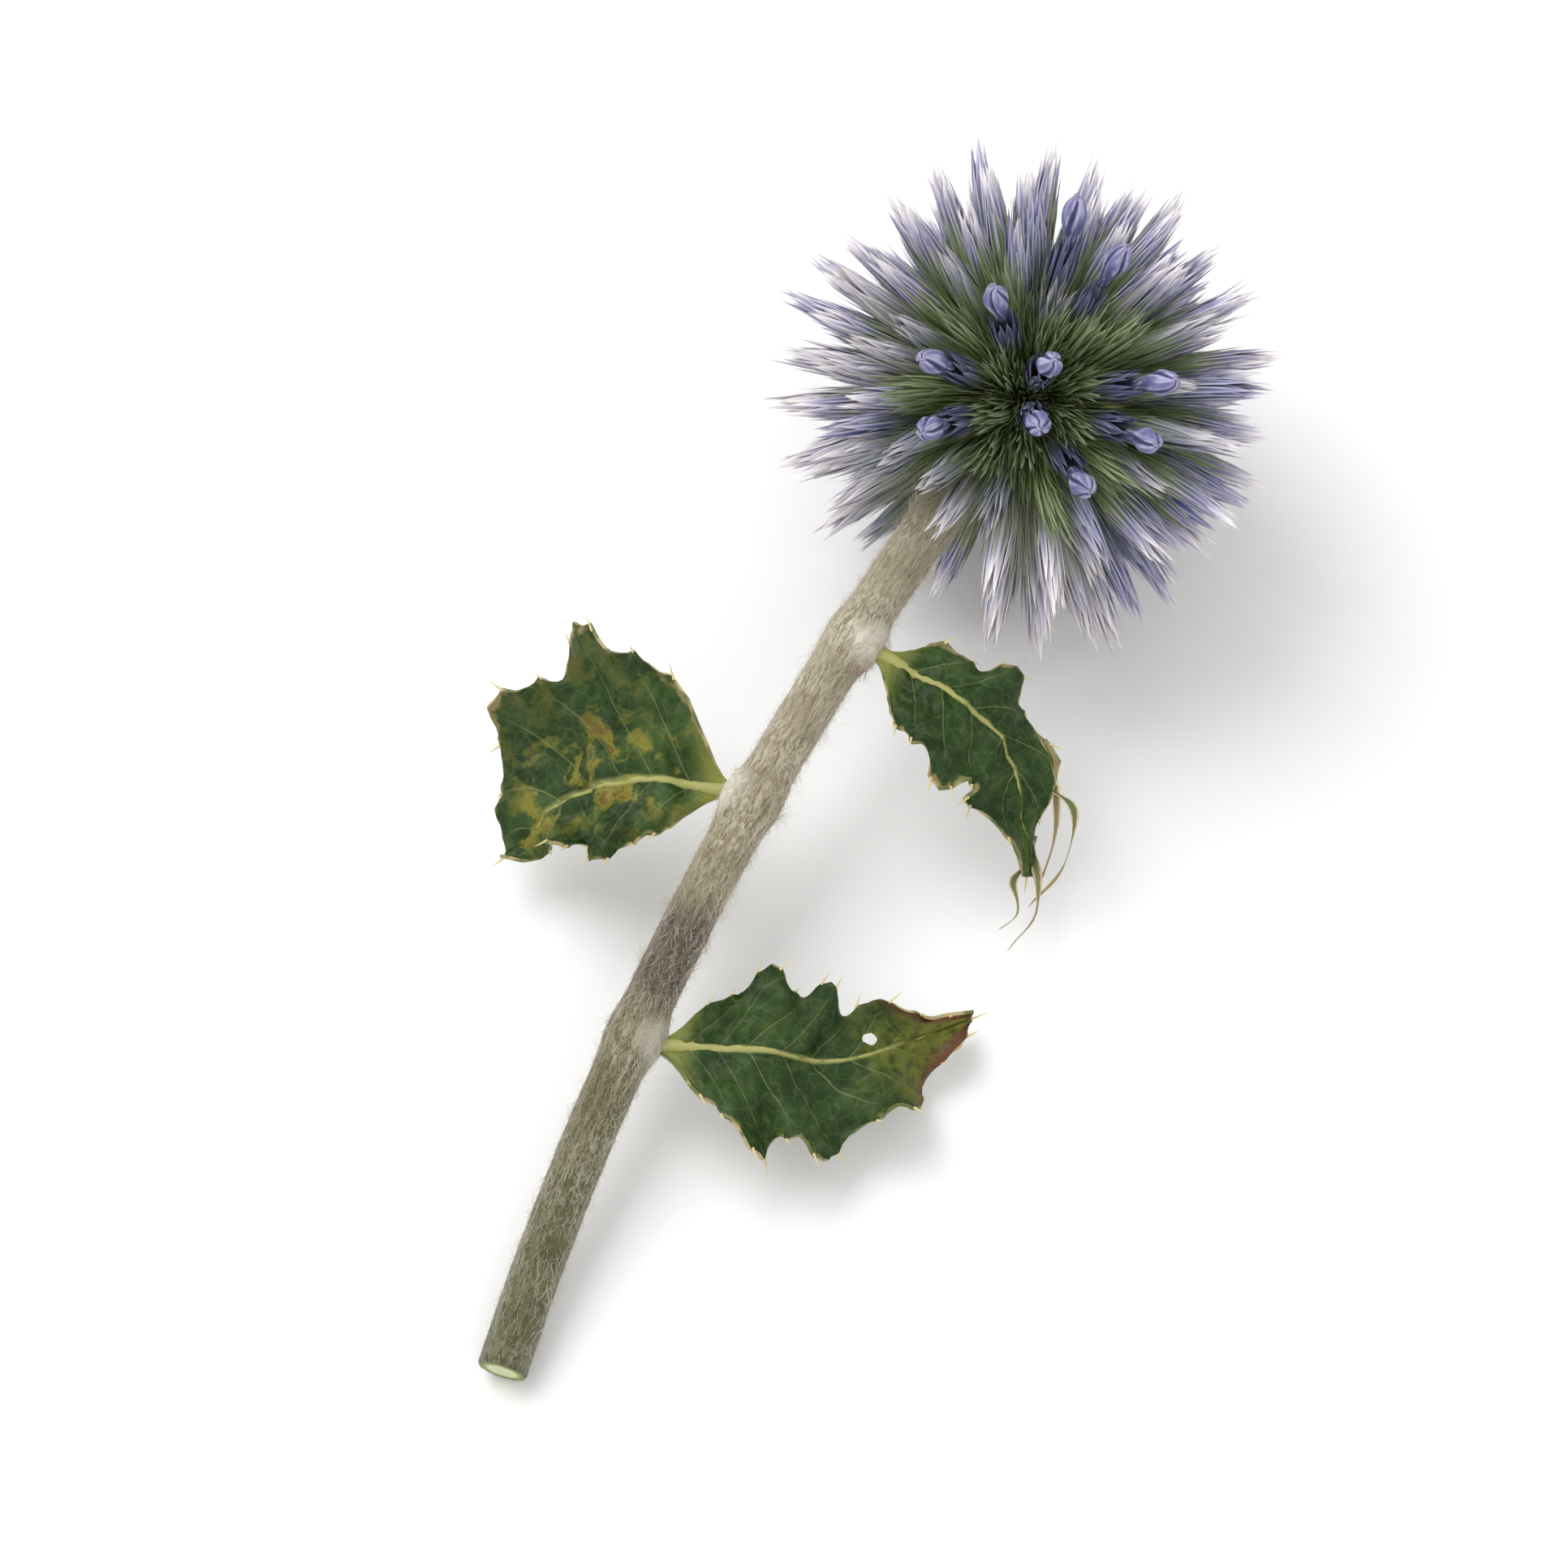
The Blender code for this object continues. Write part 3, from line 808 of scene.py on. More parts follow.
# ramps run from the head's centre to the cut, and over the cut from its middle to its rim
stemTones = {
    "base": ((0.0, 136, 126, 100), (0.25, 162, 152, 128), (0.5, 150, 139, 110),
             (0.68, 118, 111, 78), (0.85, 86, 85, 48), (1.0, 88, 87, 50)),
    "skin": ((0.0, 92, 86, 60), (0.4, 96, 84, 58), (0.7, 72, 66, 38), (1.0, 62, 64, 32)),
    "felt": (206, 198, 180),
    # painted shade: darker olive in the grooves between the stem's ribs
    "grooveShade": (78, 78, 44, 0.4),
    "purple": (66, 50, 48),
    "cotton": (226, 220, 208),
    "rust": (120, 66, 34),
    "cut": ((0.0, 196, 196, 160), (0.55, 206, 208, 166), (0.72, 142, 160, 96),
            (0.88, 110, 128, 66), (1.0, 126, 108, 72)),
    "woolShadow": (158, 146, 114),
    "woolLight": (222, 214, 196),
}


def stemFrame(distance):
    # the stem's axis there, the way it runs, and two directions across it
    here = stemPoint(distance)
    way = (stemPoint(distance + 0.5 * mm) - stemPoint(distance - 0.5 * mm)).normalized()
    across = way.cross(Vector((0.0, 0.0, 1.0))).normalized()
    return here, way, across, across.cross(way)


def leafFoot(leaf):
    # the stem's axis at the leaf, the way out to the leaf, and that way's angle round the stem
    distance = leaf["at"] * mm
    axis = stemPoint(distance)
    ahead = stemPoint(distance + 1.0 * mm) - axis
    outward = Vector((-ahead.y, ahead.x, 0.0)).normalized() * leaf["side"]
    if outward.x * leaf["side"] < 0:
        outward.negate()
    _, _, across, up = stemFrame(distance)
    return axis, outward, math.atan2(outward.dot(up), outward.dot(across))


def stemSurface(distance, angle):
    # radius of the woolly surface, with faint ribs and a callus under each leaf
    radius = stemRadius(distance)
    if distance > head["core"]:
        radius *= 1.0 + wrap["ribDepth"] * math.cos(wrap["ribs"] * angle + distance / mm * 0.03)
        spot = Vector((math.cos(angle) * 2.6, math.sin(angle) * 2.6, distance / mm))
        radius += wrap["felt"] * (noise.noise(spot * 1.6) + 0.6 * noise.noise(spot * 4.0))
    for leaf in leaves.values():
        apart = (distance - leaf["at"] * mm) / wrap["callusReach"]
        if abs(apart) < 2.5:
            _, _, facing = leafFoot(leaf)
            turn = (angle - facing + math.pi) % math.tau - math.pi
            swell = math.exp(-apart ** 2 - (turn / wrap["callusWidth"]) ** 2)
            radius += wrap["callusDepth"] * swell
    return radius


def wrapRound(spots, factors):
    # spots given as angle, height above the surface and distance along the stem
    world = np.empty_like(spots)
    for row, (angle, height, distance) in enumerate(spots.tolist()):
        here, _, across, up = stemFrame(distance)
        radius = stemSurface(distance, angle) * factors[row] + height
        world[row] = here + (across * math.cos(angle) + up * math.sin(angle)) * radius
    return world


def footAway(shade, around, along, leaf, below):
    # millimetres over the stem's surface from the foot of a leaf, or from a place below it
    foot = leafFoot(leaf)[2] / math.tau + 0.5
    girth = math.tau * stem["radius"] / mm
    sideways = (((around - foot + 1.5).math("FRACT") - 0.5) * girth) * 0.8
    lengthways = along * (stem["length"] / mm) - (leaf["at"] + below)
    return (sideways * sideways + lengthways * lengthways).math("SQRT")


def stemShade():
    shade = Shade("woollyStem", stemTones, Roughness=0.95, Sheen_Weight=0.35, Sheen_Roughness=0.5)
    around, along = shade.map("wrap")
    spot = shade.spot()
    streak = shade.noise(shade.join(around * 40.0, along * 34.0), 1.0, 4.0, Distortion=0.6)
    fleck = shade.noise(shade.join(around * 56.0, along * 96.0, 3.0), 1.0, 3.0, Distortion=1.2)
    grain = shade.noise(spot, 3400.0, 2.0)
    patch = shade.noise(spot, 140.0, 3.0)
    shade.start(shade.ramp(along, "base"))
    thin = streak.above(0.49, 0.12) * 0.65 + fleck.above(0.58, 0.08) * 0.25
    shade.paint(shade.ramp(along, "skin"), thin * (0.55 + along * 0.7))
    felt = (1.0 - fleck).above(0.52, 0.10) * patch.above(0.44, 0.16)
    shade.paint("felt", felt * (0.8 - along * 0.5))
    # painted shade: the grooves between the ribs on the lower half are darkened
    ribs = (around * math.tau * wrap["ribs"]).math("COSINE") * 0.5 + 0.5
    shade.paint("grooveShade", (1.0 - ribs) * along.above(0.5, 0.3))
    # a purple-brown patch below the middle
    stain = along.above(0.555, 0.03) * along.below(0.65, 0.03) * patch.above(0.38, 0.12)
    shade.paint("purple", stain * (0.40 + streak * 0.8))
    # cottony where the leaves grow, with a rusty spot under the upper one
    for leaf in leaves.values():
        cotton = footAway(shade, around, along, leaf, 0.0).below(2.3, 0.9) * (0.6 + fleck * 0.5)
        shade.paint("cotton", cotton * leaf["cotton"])
    rust = footAway(shade, around, along, leaves["upper"], 2.2).below(1.0, 0.5) * 0.8
    shade.paint("rust", rust * fleck.above(0.45, 0.15))
    height = streak * 0.6 + fleck * 0.5 + grain * 0.35
    return shade.close(Normal=shade.relief(height, 0.7, 0.00014))


def cutShade():
    # pale pith inside a green ring, drying brown at its rim
    shade = Shade("stemCut", stemTones, Roughness=0.7)
    grain = shade.noise(shade.spot(), 2600.0, 3.0)
    away, _ = shade.map("wrap")
    shade.start(shade.ramp(away + (grain - 0.5) * 0.12, "cut"))
    return shade.close()


def modelStem():
    length = stem["length"]
    distances = [-head["core"] * math.cos(math.radians(angle)) for angle in range(6, 160, 14)]
    while distances[-1] < length - 1.4 * wrap["spacing"]:
        distances.append(distances[-1] + wrap["spacing"])
    # the cut closes inwards, ring by ring
    rings = [(distance, 1.0) for distance in [*distances, length - 0.15 * mm]]
    rings += [(length, share) for share in wrap["cutRings"]]
    piece = drawOut("woollyStem", wrap["sides"], rings, 1.0, False)
    spots = places(piece)
    turns = turnsOf(spots)
    factors = np.hypot(spots[:, 0], spots[:, 1])
    for material in (stemShade(), cutShade()):
        piece.data.materials.append(material)
    for polygon in piece.data.polygons:
        isCut = min(spots[vertex][2] for vertex in polygon.vertices) > length - 0.05 * mm
        polygon.material_index = int(isCut)
    mapRound(piece, "wrap", turns, lambda polygon, vertex, turn: (
        (factors[vertex], 0.0) if polygon.material_index
        else (turn, max(spots[vertex][2] / length, 0.0))))
    spots[:, 0] = (turns - 0.5) * math.tau
    spots[:, 1] = 0.0
    putPlaces(piece, wrapRound(spots, factors))
    return piece


print("modelling stem")
finishPiece(modelStem(), "stem", 60, "stem")

# Strands lie close in patches of their own form, and locks of longer ones stand off
wool = {
    "strand": ((0.0, 0.020), (0.5, 0.017), (1.0, 0.003)),
    "patchForms": 4,
    "patchStrands": 60,
    "patchLength": 6.0 * mm,
    "patches": 140,
    "headings": 0.9,
    "backwards": 0.35,
    "thinning": 1.35,
    "lengths": (0.7, 2.0),
    "lift": (0.05, 0.60),
    "curl": 1.2,
    "sunk": 0.03 * mm,
    "start": 8.0 * mm,
    "locks": 26,
    "lockStrands": 16,
    "lockLengths": (1.0, 2.2),
    "lockLift": (0.5, 1.1),
    "lockRange": (0.14, 0.66),
    "seed": 41,
}


def woolShade():
    shade = Shade("wool", stemTones, Roughness=0.8, Sheen_Weight=0.4)
    shade.start("woolShadow")
    shade.paint("woolLight", shade.noise(shade.spot(), 300.0, 1.0))
    return shade.close()


def bendStrand(strand, name, rng, heading, lift, length, foot):
    # flat: x round the stem, y above its surface, z along it
    piece = copyPiece(strand, name)
    base = places(piece)
    share = base[:, 2]
    turned = heading + rng.uniform(-wool["curl"], wool["curl"]) * share
    spots = np.empty_like(base)
    spots[:, 0] = np.sin(turned) * share * length + base[:, 0] + foot[0]
    spots[:, 1] = share * length * lift * (0.3 + share) - wool["sunk"] + base[:, 1]
    spots[:, 2] = np.cos(turned) * share * length + foot[1]
    putPlaces(piece, spots)
    return piece


def layOnStem(piece, distance, angle):
    spots = places(piece)
    spots[:, 0] = spots[:, 0] / stem["radius"] + angle
    spots[:, 2] = np.clip(spots[:, 2] + distance, wool["start"], stem["length"] - 0.2 * mm)
    world = wrapRound(spots, np.ones(len(spots)))
    world[:, 2] = np.maximum(world[:, 2], 0.03 * mm)
    putPlaces(piece, world)


def modelPatch(strand, form, rng):
    strands = []
    for index in range(wool["patchStrands"]):
        heading = rng.gauss(0.0, wool["headings"])
        heading += math.pi if rng.random() < wool["backwards"] else 0.0
        foot = (rng.uniform(-0.5, 0.5) * math.tau * stem["radius"],
                rng.uniform(-0.5, 0.5) * wool["patchLength"])
        lift, length = rng.uniform(*wool["lift"]), rng.uniform(*wool["lengths"]) * mm
        strands.append(bendStrand(strand, f"strand_{form}_{index}", rng, heading, lift, length,
                                  foot))
    return joinPieces(strands, f"woolPatch{form}")


def modelLock(strand, form, rng):
    strands = []
    heading = rng.gauss(0.0, 0.5) + (math.pi if form % 2 else 0.0)
    for index in range(wool["lockStrands"]):
        turned = heading + rng.uniform(-0.5, 0.5)
        lift, length = rng.uniform(*wool["lockLift"]), rng.uniform(*wool["lockLengths"]) * mm
        foot = (rng.uniform(-0.4, 0.4) * mm, rng.uniform(-0.7, 0.7) * mm)
        strands.append(bendStrand(strand, f"lock_{form}_{index}", rng, turned, lift, length, foot))
    return joinPieces(strands, f"lock_{form}")


def modelWool():
    rng = random.Random(wool["seed"])
    strand = drawOut("strand", 3, wool["strand"])
    strand.data.materials.append(woolShade())
    patchForms = [modelPatch(strand, form, rng) for form in range(wool["patchForms"])]
    grown = []
    start, end = stem["neckEnd"], stem["length"] - 3.5 * mm
    for index in range(wool["patches"]):
        piece = copyPiece(patchForms[index % len(patchForms)], f"woolPatch_{index}")
        # thickest near the head
        share = ((index + 0.5) / wool["patches"]) ** wool["thinning"]
        layOnStem(piece, start + (end - start) * share, rng.uniform(0.0, math.tau))
        grown.append(piece)
    for index in range(wool["locks"]):
        lock = modelLock(strand, index, rng)
        # most stand out at the two sides, a few on top
        side = rng.choice((0.0, math.pi, math.pi, math.pi / 2)) + rng.uniform(-0.45, 0.45)
        layOnStem(lock, rng.uniform(*wool["lockRange"]) * stem["length"], side)
        grown.append(lock)
    removePieces([strand, *patchForms])
    return joinPieces(grown, "stemWool")


print("growing wool")
finishPiece(modelWool(), "stem", 80)

blade = {
    "columns": 84,
    "rows": 40,
    "thickness": 0.34 * mm,
    "outlineStart": 0.06,
    "lobeDepth": 0.16,
    "lobeSweep": 0.3,
    "rooted": 0.8,
    "stalkWidth": 0.16,
    "stalkLength": 0.3,
    "step": 0.02,
    "curlShare": 0.36,
    "waveStart": 0.6,
    "teeth": 3,
    "toothDepth": 0.10,
    "veinSlant": 0.16,
    "veinWidth": 0.16,
    "ribWidth": 0.07,
    "veinDepth": 0.30,
    "crumple": 1.25,
    "crumples": ((0.22, 1.0), (0.55, 0.5), (1.4, 0.26)),
    "edgeFrom": 0.7,
    "edgeCurl": 1.7,
    "lowest": 0.25,
}
rib = {"sides": 8, "steps": 24, "reach": 0.93, "foot": 0.85, "taper": 0.76, "broad": 1.15,
       "sunk": 0.12}
spines = {
    "sides": 5, "rings": ((0.0, 0.14), (0.5, 0.08), (1.0, 0.01)),
    "from": 0.12, "to": 0.985, "shortest": 0.8, "longer": 1.2, "tip": 2.4,
}
# Dry ribbons of the upper leaf: where on its edge each one hangs, its path from there (mm),
# half width (mm) and turns
ribbons = (
    (0.66, -0.96, ((1.6, -1.5, -1.2), (4.2, -5.0, -4.2), (5.0, -9.5, -8.4)), 0.62, 0.45),
    (0.78, -0.96, ((2.4, -0.4, -1.0), (3.6, -4.2, -4.0), (2.2, -8.6, -7.2)), 0.48, -0.6),
    (0.90, -0.90, ((1.2, -2.2, -1.0), (3.4, -6.0, -2.4), (2.6, -10.6, -3.4)), 0.55, 0.8),
    (0.97, 0.2, ((-0.6, -1.8, -0.8), (1.0, -4.0, -1.6), (0.2, -6.4, -2.0)), 0.42, -0.35),
)
ribbonSteps = 18


def smoothPoint(points, share):
    # a soft curve through the points
    place = share * (len(points) - 1)
    index = min(int(place), len(points) - 2)
    local = place - index
    here, there = points[index], points[index + 1]
    before = points[index - 1] if index else here * 2 - there
    after = points[index + 2] if index + 2 < len(points) else there * 2 - here
    bend = (before * -1 + here * 3 - there * 3 + after) * local ** 3
    sweep = (before * 2 - here * 5 + there * 4 - after) * local ** 2
    return (bend + sweep + (there - before) * local + here * 2) * 0.5


def smoothWay(points, share):
    before = smoothPoint(points, max(share - blade["step"], 0.0))
    return (smoothPoint(points, min(share + blade["step"], 1.0)) - before).normalized()


def bladeWidth(leaf, share, halfWidth):
    start = blade["outlineStart"]
    outline = math.sin(math.pi * (1.0 - (1.0 - start) * (1.0 - share)) ** 0.8) ** 0.75
    lobe = 1.0 - 2.0 * abs(math.cos(math.pi * leaf["lobes"] * share))
    stalk = min(1.0, blade["stalkWidth"] + share / blade["stalkLength"])
    return max(halfWidth * outline * (1.0 + blade["lobeDepth"] * lobe) * stalk, 0.3)


def bladeFrame(leaf, points, share):
    along = smoothWay(points, share)
    up = Vector(leaf["faces"][0]).lerp(Vector(leaf["faces"][1]), share)
    side = along.cross(up).normalized()
    return smoothPoint(points, share), along, side, side.cross(along)


def veinNearness(leaf, share, across):
    # 1 on a side vein or the midrib, falling to 0 between them
    run = (share - blade["veinSlant"] * across) * leaf["lobes"] * 2.0
    phase = abs((run + 0.5) % 1.0 - 0.5) * 2.0
    side = max(0.0, 1.0 - phase / blade["veinWidth"]) * (1.0 - 0.6 * across)
    return max(side, 1.0 - across / blade["ribWidth"])


def bladeSpot(leaf, points, share, across):
    # in mm: the smooth blade with lobes, teeth, veins, crumples and curled edges
    here, along, side, up = bladeFrame(leaf, points, share)
    away = abs(across)
    halfWidth = leaf["halfWidths"][0 if across * leaf["side"] < 0 else 1]
    width = bladeWidth(leaf, share, halfWidth) * across
    tooth = abs((share * leaf["lobes"] * blade["teeth"] + leaf["seed"]) % 1.0 - 0.5) * 2.0
    toothed = blade["toothDepth"] * (tooth ** 2 - 0.4) * away ** 5 * min(1.0, 4.0 * share)
    ripple = math.sin(math.tau * leaf["lobes"] * share + blade["waveStart"])
    ripple *= leaf["wave"] * across * away * min(1.0, 3.0 * share)
    flat = Vector((share * 26.0, width, leaf["seed"]))
    crumple = sum(depth * noise.noise(flat * scale) for scale, depth in blade["crumples"])
    edge = max(0.0, away - blade["edgeFrom"]) / (1.0 - blade["edgeFrom"])
    curled = noise.noise(Vector((share * 5.0, across, leaf["seed"] * 2.0)))
    fold = blade["edgeCurl"] * edge * edge * curled
    rough = 0.12 - blade["veinDepth"] * veinNearness(leaf, share, away)
    rough += blade["crumple"] * crumple + fold
    lift = leaf["curl"] * abs(width) ** 1.5 * blade["curlShare"] + ripple
    place = here + side * (width * (1.0 + toothed) - math.copysign(abs(fold) * 0.5, across))
    place += along * (blade["lobeSweep"] * abs(width) * (1.0 - share))
    place += up * (lift + rough * min(1.0, 6.0 * share))
    place.z = max(place.z, blade["lowest"])
    return place


leafTones = {
    "green": ((0.28, 22, 42, 10), (0.46, 32, 56, 17), (0.58, 42, 66, 24), (0.74, 62, 84, 36)),
    "light": (84, 102, 58, 0.24),
    "deep": (16, 32, 10, 0.28),
    "net": (96, 112, 64),
    "vein": (126, 134, 84),
    "rib": ((0.0, 196, 192, 116), (0.45, 150, 150, 88), (1.0, 96, 106, 56)),
    "foot": (150, 156, 74, 0.75),
    "dry": (150, 134, 92, 0.75),
    "yellow": (140, 132, 48, 0.75),
    "rust": (104, 70, 38, 0.8),
    "olive": (118, 116, 34, 0.55),
    "redTip": (92, 40, 40, 0.75),
    "feltShadow": (128, 132, 112),
    "felt": (176, 174, 158),
    "feltGreen": (112, 120, 88, 0.5),
    "feltRib": (170, 160, 116, 0.6),
    "rimGreen": (96, 104, 56),
    "rimDry": (176, 160, 116),
    "ribbon": ((0.0, 64, 80, 40), (0.4, 104, 106, 66), (0.8, 140, 126, 90), (1.0, 150, 130, 96)),
    "straw": (196, 184, 148, 0.9),
}


def bladeShade(name, leaf):
    shade = Shade("bladeTop" + name.capitalize(), leafTones, Specular_IOR_Level=0.22)
    share, across = shade.map("blade")
    across = across.fromMiddle()
    spot = shade.spot()
    broad = shade.noise(spot, 160.0, 3.0)
    fine = shade.noise(spot, 900.0, 4.0)
    cells = shade.add("TexVoronoi", {"feature": "DISTANCE_TO_EDGE"},
                      {"Vector": spot, "Scale": 620.0, "Randomness": 1.0})
    shade.start(shade.ramp(broad, "green"))
    shade.paint("light", fine.above(0.58, 0.16))
    shade.paint("deep", fine.below(0.42, 0.12))
    shade.paint("net", cells.below(0.03, 0.03) * (0.10 + fine * 0.22))
    run = (share - across * blade["veinSlant"]) * (leaf["lobes"] * 2.0)
    phase = (run + 0.5).math("FRACT").fromMiddle()
    lateral = phase.below(0.035, 0.03) * across.below(0.75, 0.25)
    shade.paint("vein", lateral * (0.25 + broad * 0.6))
    shade.paint(shade.ramp(share, "rib"), across.below(0.035, 0.02) * 0.8)
    # the foot is yellow-green, and the margin has dried here and there
    shade.paint("foot", share.below(0.09, 0.08))
    dry = across + (fine - 0.5) * 0.30 + (broad - 0.5) * 0.55
    shade.paint("dry", dry.above(leaf["dryFrom"], 0.04))
    if name == "middle":
        blotch = shade.noise(spot, 300.0, 5.0, Roughness=0.62, Distortion=0.4)
        nearRib = 1.0 - across.above(0.45, 0.35) * 0.8
        shade.paint("yellow", blotch.above(0.53, 0.06) * nearRib)
        shade.paint("rust", blotch.above(0.61, 0.03) * nearRib)
    if name == "lower":
        olive = (share + (broad - 0.5) * 0.5).above(0.74, 0.10) * fine.above(0.40, 0.2)
        shade.paint("olive", olive)
        tip = share * 0.75 + across * 0.22 + (broad - 0.5) * 0.12
        shade.paint("redTip", tip.above(0.80, 0.05))
    return shade.close(Roughness=0.38 + fine * 0.3,
                       Normal=shade.relief(cells * 0.8 + fine * 0.4, 0.7, 0.00016))


def undersideShade():
    shade = Shade("bladeUnderside", leafTones, Roughness=0.9, Sheen_Weight=0.3)
    across = shade.map("blade")[1].fromMiddle()
    spot = shade.spot()
    fine = shade.noise(spot, 1300.0, 4.0)
    shade.start("feltShadow")
    shade.paint("felt", fine.above(0.5, 0.2))
    shade.paint("feltGreen", shade.noise(spot, 200.0, 2.0).above(0.55, 0.15))
    shade.paint("feltRib", across.below(0.05, 0.03))
    return shade.close(Normal=shade.relief(fine, 0.4, 0.0001))


def rimShade():
    shade = Shade("bladeRim", leafTones, Roughness=0.8)
    shade.start("rimGreen")
    shade.paint("rimDry", shade.noise(shade.spot(), 500.0, 2.0).above(0.52, 0.1))
    return shade.close()


def ribbonShade():
    # green-brown inside, straw at the margins
    shade = Shade("dryRibbon", leafTones, Roughness=0.8)
    share, across = shade.map("blade")
    grain = shade.noise(shade.spot(), 700.0, 3.0) - 0.5
    shade.start(shade.ramp(share + grain * 0.3, "ribbon"))
    shade.paint("straw", (across.fromMiddle() + grain * 0.6).above(0.62, 0.16))
    return shade.close()


def cutHole(piece, hole):
    # a small hole some insect has eaten, its rim made round
    spots = places(piece)
    radius = hole["radius"]
    column = round(hole["share"] * blade["columns"])
    row = round((hole["across"] + 1.0) / 2.0 * blade["rows"])
    middle = spots[row * (blade["columns"] + 1) + column]
    bpy.ops.object.mode_set(mode="EDIT")
    bpy.ops.mesh.select_mode(type="FACE")
    bpy.ops.mesh.select_all(action="DESELECT")
    bpy.ops.object.mode_set(mode="OBJECT")
    for polygon in piece.data.polygons:
        centre = np.mean([spots[vertex] for vertex in polygon.vertices], axis=0)
        polygon.select = bool(np.linalg.norm(centre - middle) < radius)
    bpy.ops.object.mode_set(mode="EDIT")
    bpy.ops.mesh.delete(type="FACE")
    bpy.ops.mesh.select_mode(type="VERT")
    bpy.ops.mesh.select_all(action="DESELECT")
    bpy.ops.mesh.select_non_manifold(extend=False, use_wire=False, use_multi_face=False,
                                     use_non_contiguous=False, use_verts=False)
    bpy.ops.object.mode_set(mode="OBJECT")
    spots = places(piece)
    for vertex in piece.data.vertices:
        away = spots[vertex.index] - middle
        apart = np.linalg.norm(away)
        if vertex.select and 0.0 < apart < 2.0 * radius:
            spots[vertex.index] = middle + away * (radius / apart)
    putPlaces(piece, spots)


def modelRibbon(leaf, points, spec):
    # a narrow strip that hangs from the leaf's edge and turns as it goes
    share, across, hang, halfWidth, turns = spec
    start = bladeSpot(leaf, points, share, across)
    way = [start, *(start + Vector(point) for point in hang)]
    rings = [(index / ribbonSteps, 1.0, 0.12) for index in range(ribbonSteps + 1)]
    piece = drawOut("ribbon", 4, rings, 1.0)
    spots = places(piece).tolist()
    mapPiece(piece, "blade", lambda vertex: (spots[vertex][2], 0.5 + 0.5 * spots[vertex][0]))
    shaped = []
    for x, y, along in spots:
        ahead = smoothWay(way, along)
        side = ahead.cross(Vector((0.3, 0.2, 1.0))).normalized()
        up = side.cross(ahead)
        turn = turns * math.tau * along + 0.4
        wide = side * math.cos(turn) + up * math.sin(turn)
        thin = up * math.cos(turn) - side * math.sin(turn)
        width = halfWidth * (1.0 - 0.85 * along ** 1.6)
        width *= 0.8 + 0.35 * math.sin(along * 13.0 + start.x)
        bend = 0.35 * noise.noise(Vector((along * 3.5, start.x, start.y)))
        spot = smoothPoint(way, along) + wide * (x * width + bend) + thin * (y * halfWidth)
        spot.z = max(spot.z, 0.15 + 0.05 * y)
        shaped.append(spot * mm)
    putPlaces(piece, shaped)
    piece.data.materials.append(finishes["ribbon"])
    return piece


def modelRib(leaf, points):
    # the midrib, a tapering rod let into the blade
    rings = [(index / rib["steps"], 1.0) for index in range(rib["steps"] + 1)]
    piece = drawOut("rib", rib["sides"], rings, 1.0)
    shaped = []
    for x, y, share in places(piece).tolist():
        share *= rib["reach"]
        _, _, side, up = bladeFrame(leaf, points, share)
        radius = rib["foot"] - rib["taper"] * share ** 0.42
        spot = bladeSpot(leaf, points, share, 0.0)
        spot += side * (x * radius * rib["broad"]) + up * (y * radius - rib["sunk"])
        spot.z = max(spot.z, lowest / mm)
        shaped.append(spot * mm)
    putPlaces(piece, shaped)
    piece.data.uv_layers.new(name="blade")
    piece.data.materials.append(finishes["rib"])
    return piece


def modelSpines(leaf, points):
    # a spine on each tooth, longest on the lobes' ends
    cone = drawOut("spineForm", spines["sides"], spines["rings"])
    cone.data.materials.append(finishes["spine"])
    cone.data.uv_layers.new(name="blade")
    rng = random.Random(int(leaf["seed"]))
    grown = []

    def growSpine(edge, inside, sunk, length):
        way = (edge - inside).normalized()
        piece = copyPiece(cone, "spine")
        stand(piece, places(piece) * (1.0, 1.0, length * mm), way, (edge - way * sunk) * mm)
        grown.append(piece)

    teeth = leaf["lobes"] * blade["teeth"]
    for index in range(1, round(teeth)):
        for side in (-1.0, 1.0):
            share = (index - leaf["seed"] % 1.0 + rng.uniform(-0.1, 0.1)) / teeth
            if spines["from"] < share < spines["to"]:
                edge = bladeSpot(leaf, points, share, side)
                inside = bladeSpot(leaf, points, share - 0.015, side * 0.9)
                outmost = abs(math.sin(math.pi * leaf["lobes"] * share)) ** 2
                growSpine(edge, inside, 0.1, spines["shortest"] + spines["longer"] * outmost)
    tip, inside = (bladeSpot(leaf, points, share, 0.0) for share in (1.0, 0.95))
    growSpine(tip, inside, 0.2, spines["tip"])
    removePieces([cone])
    return grown


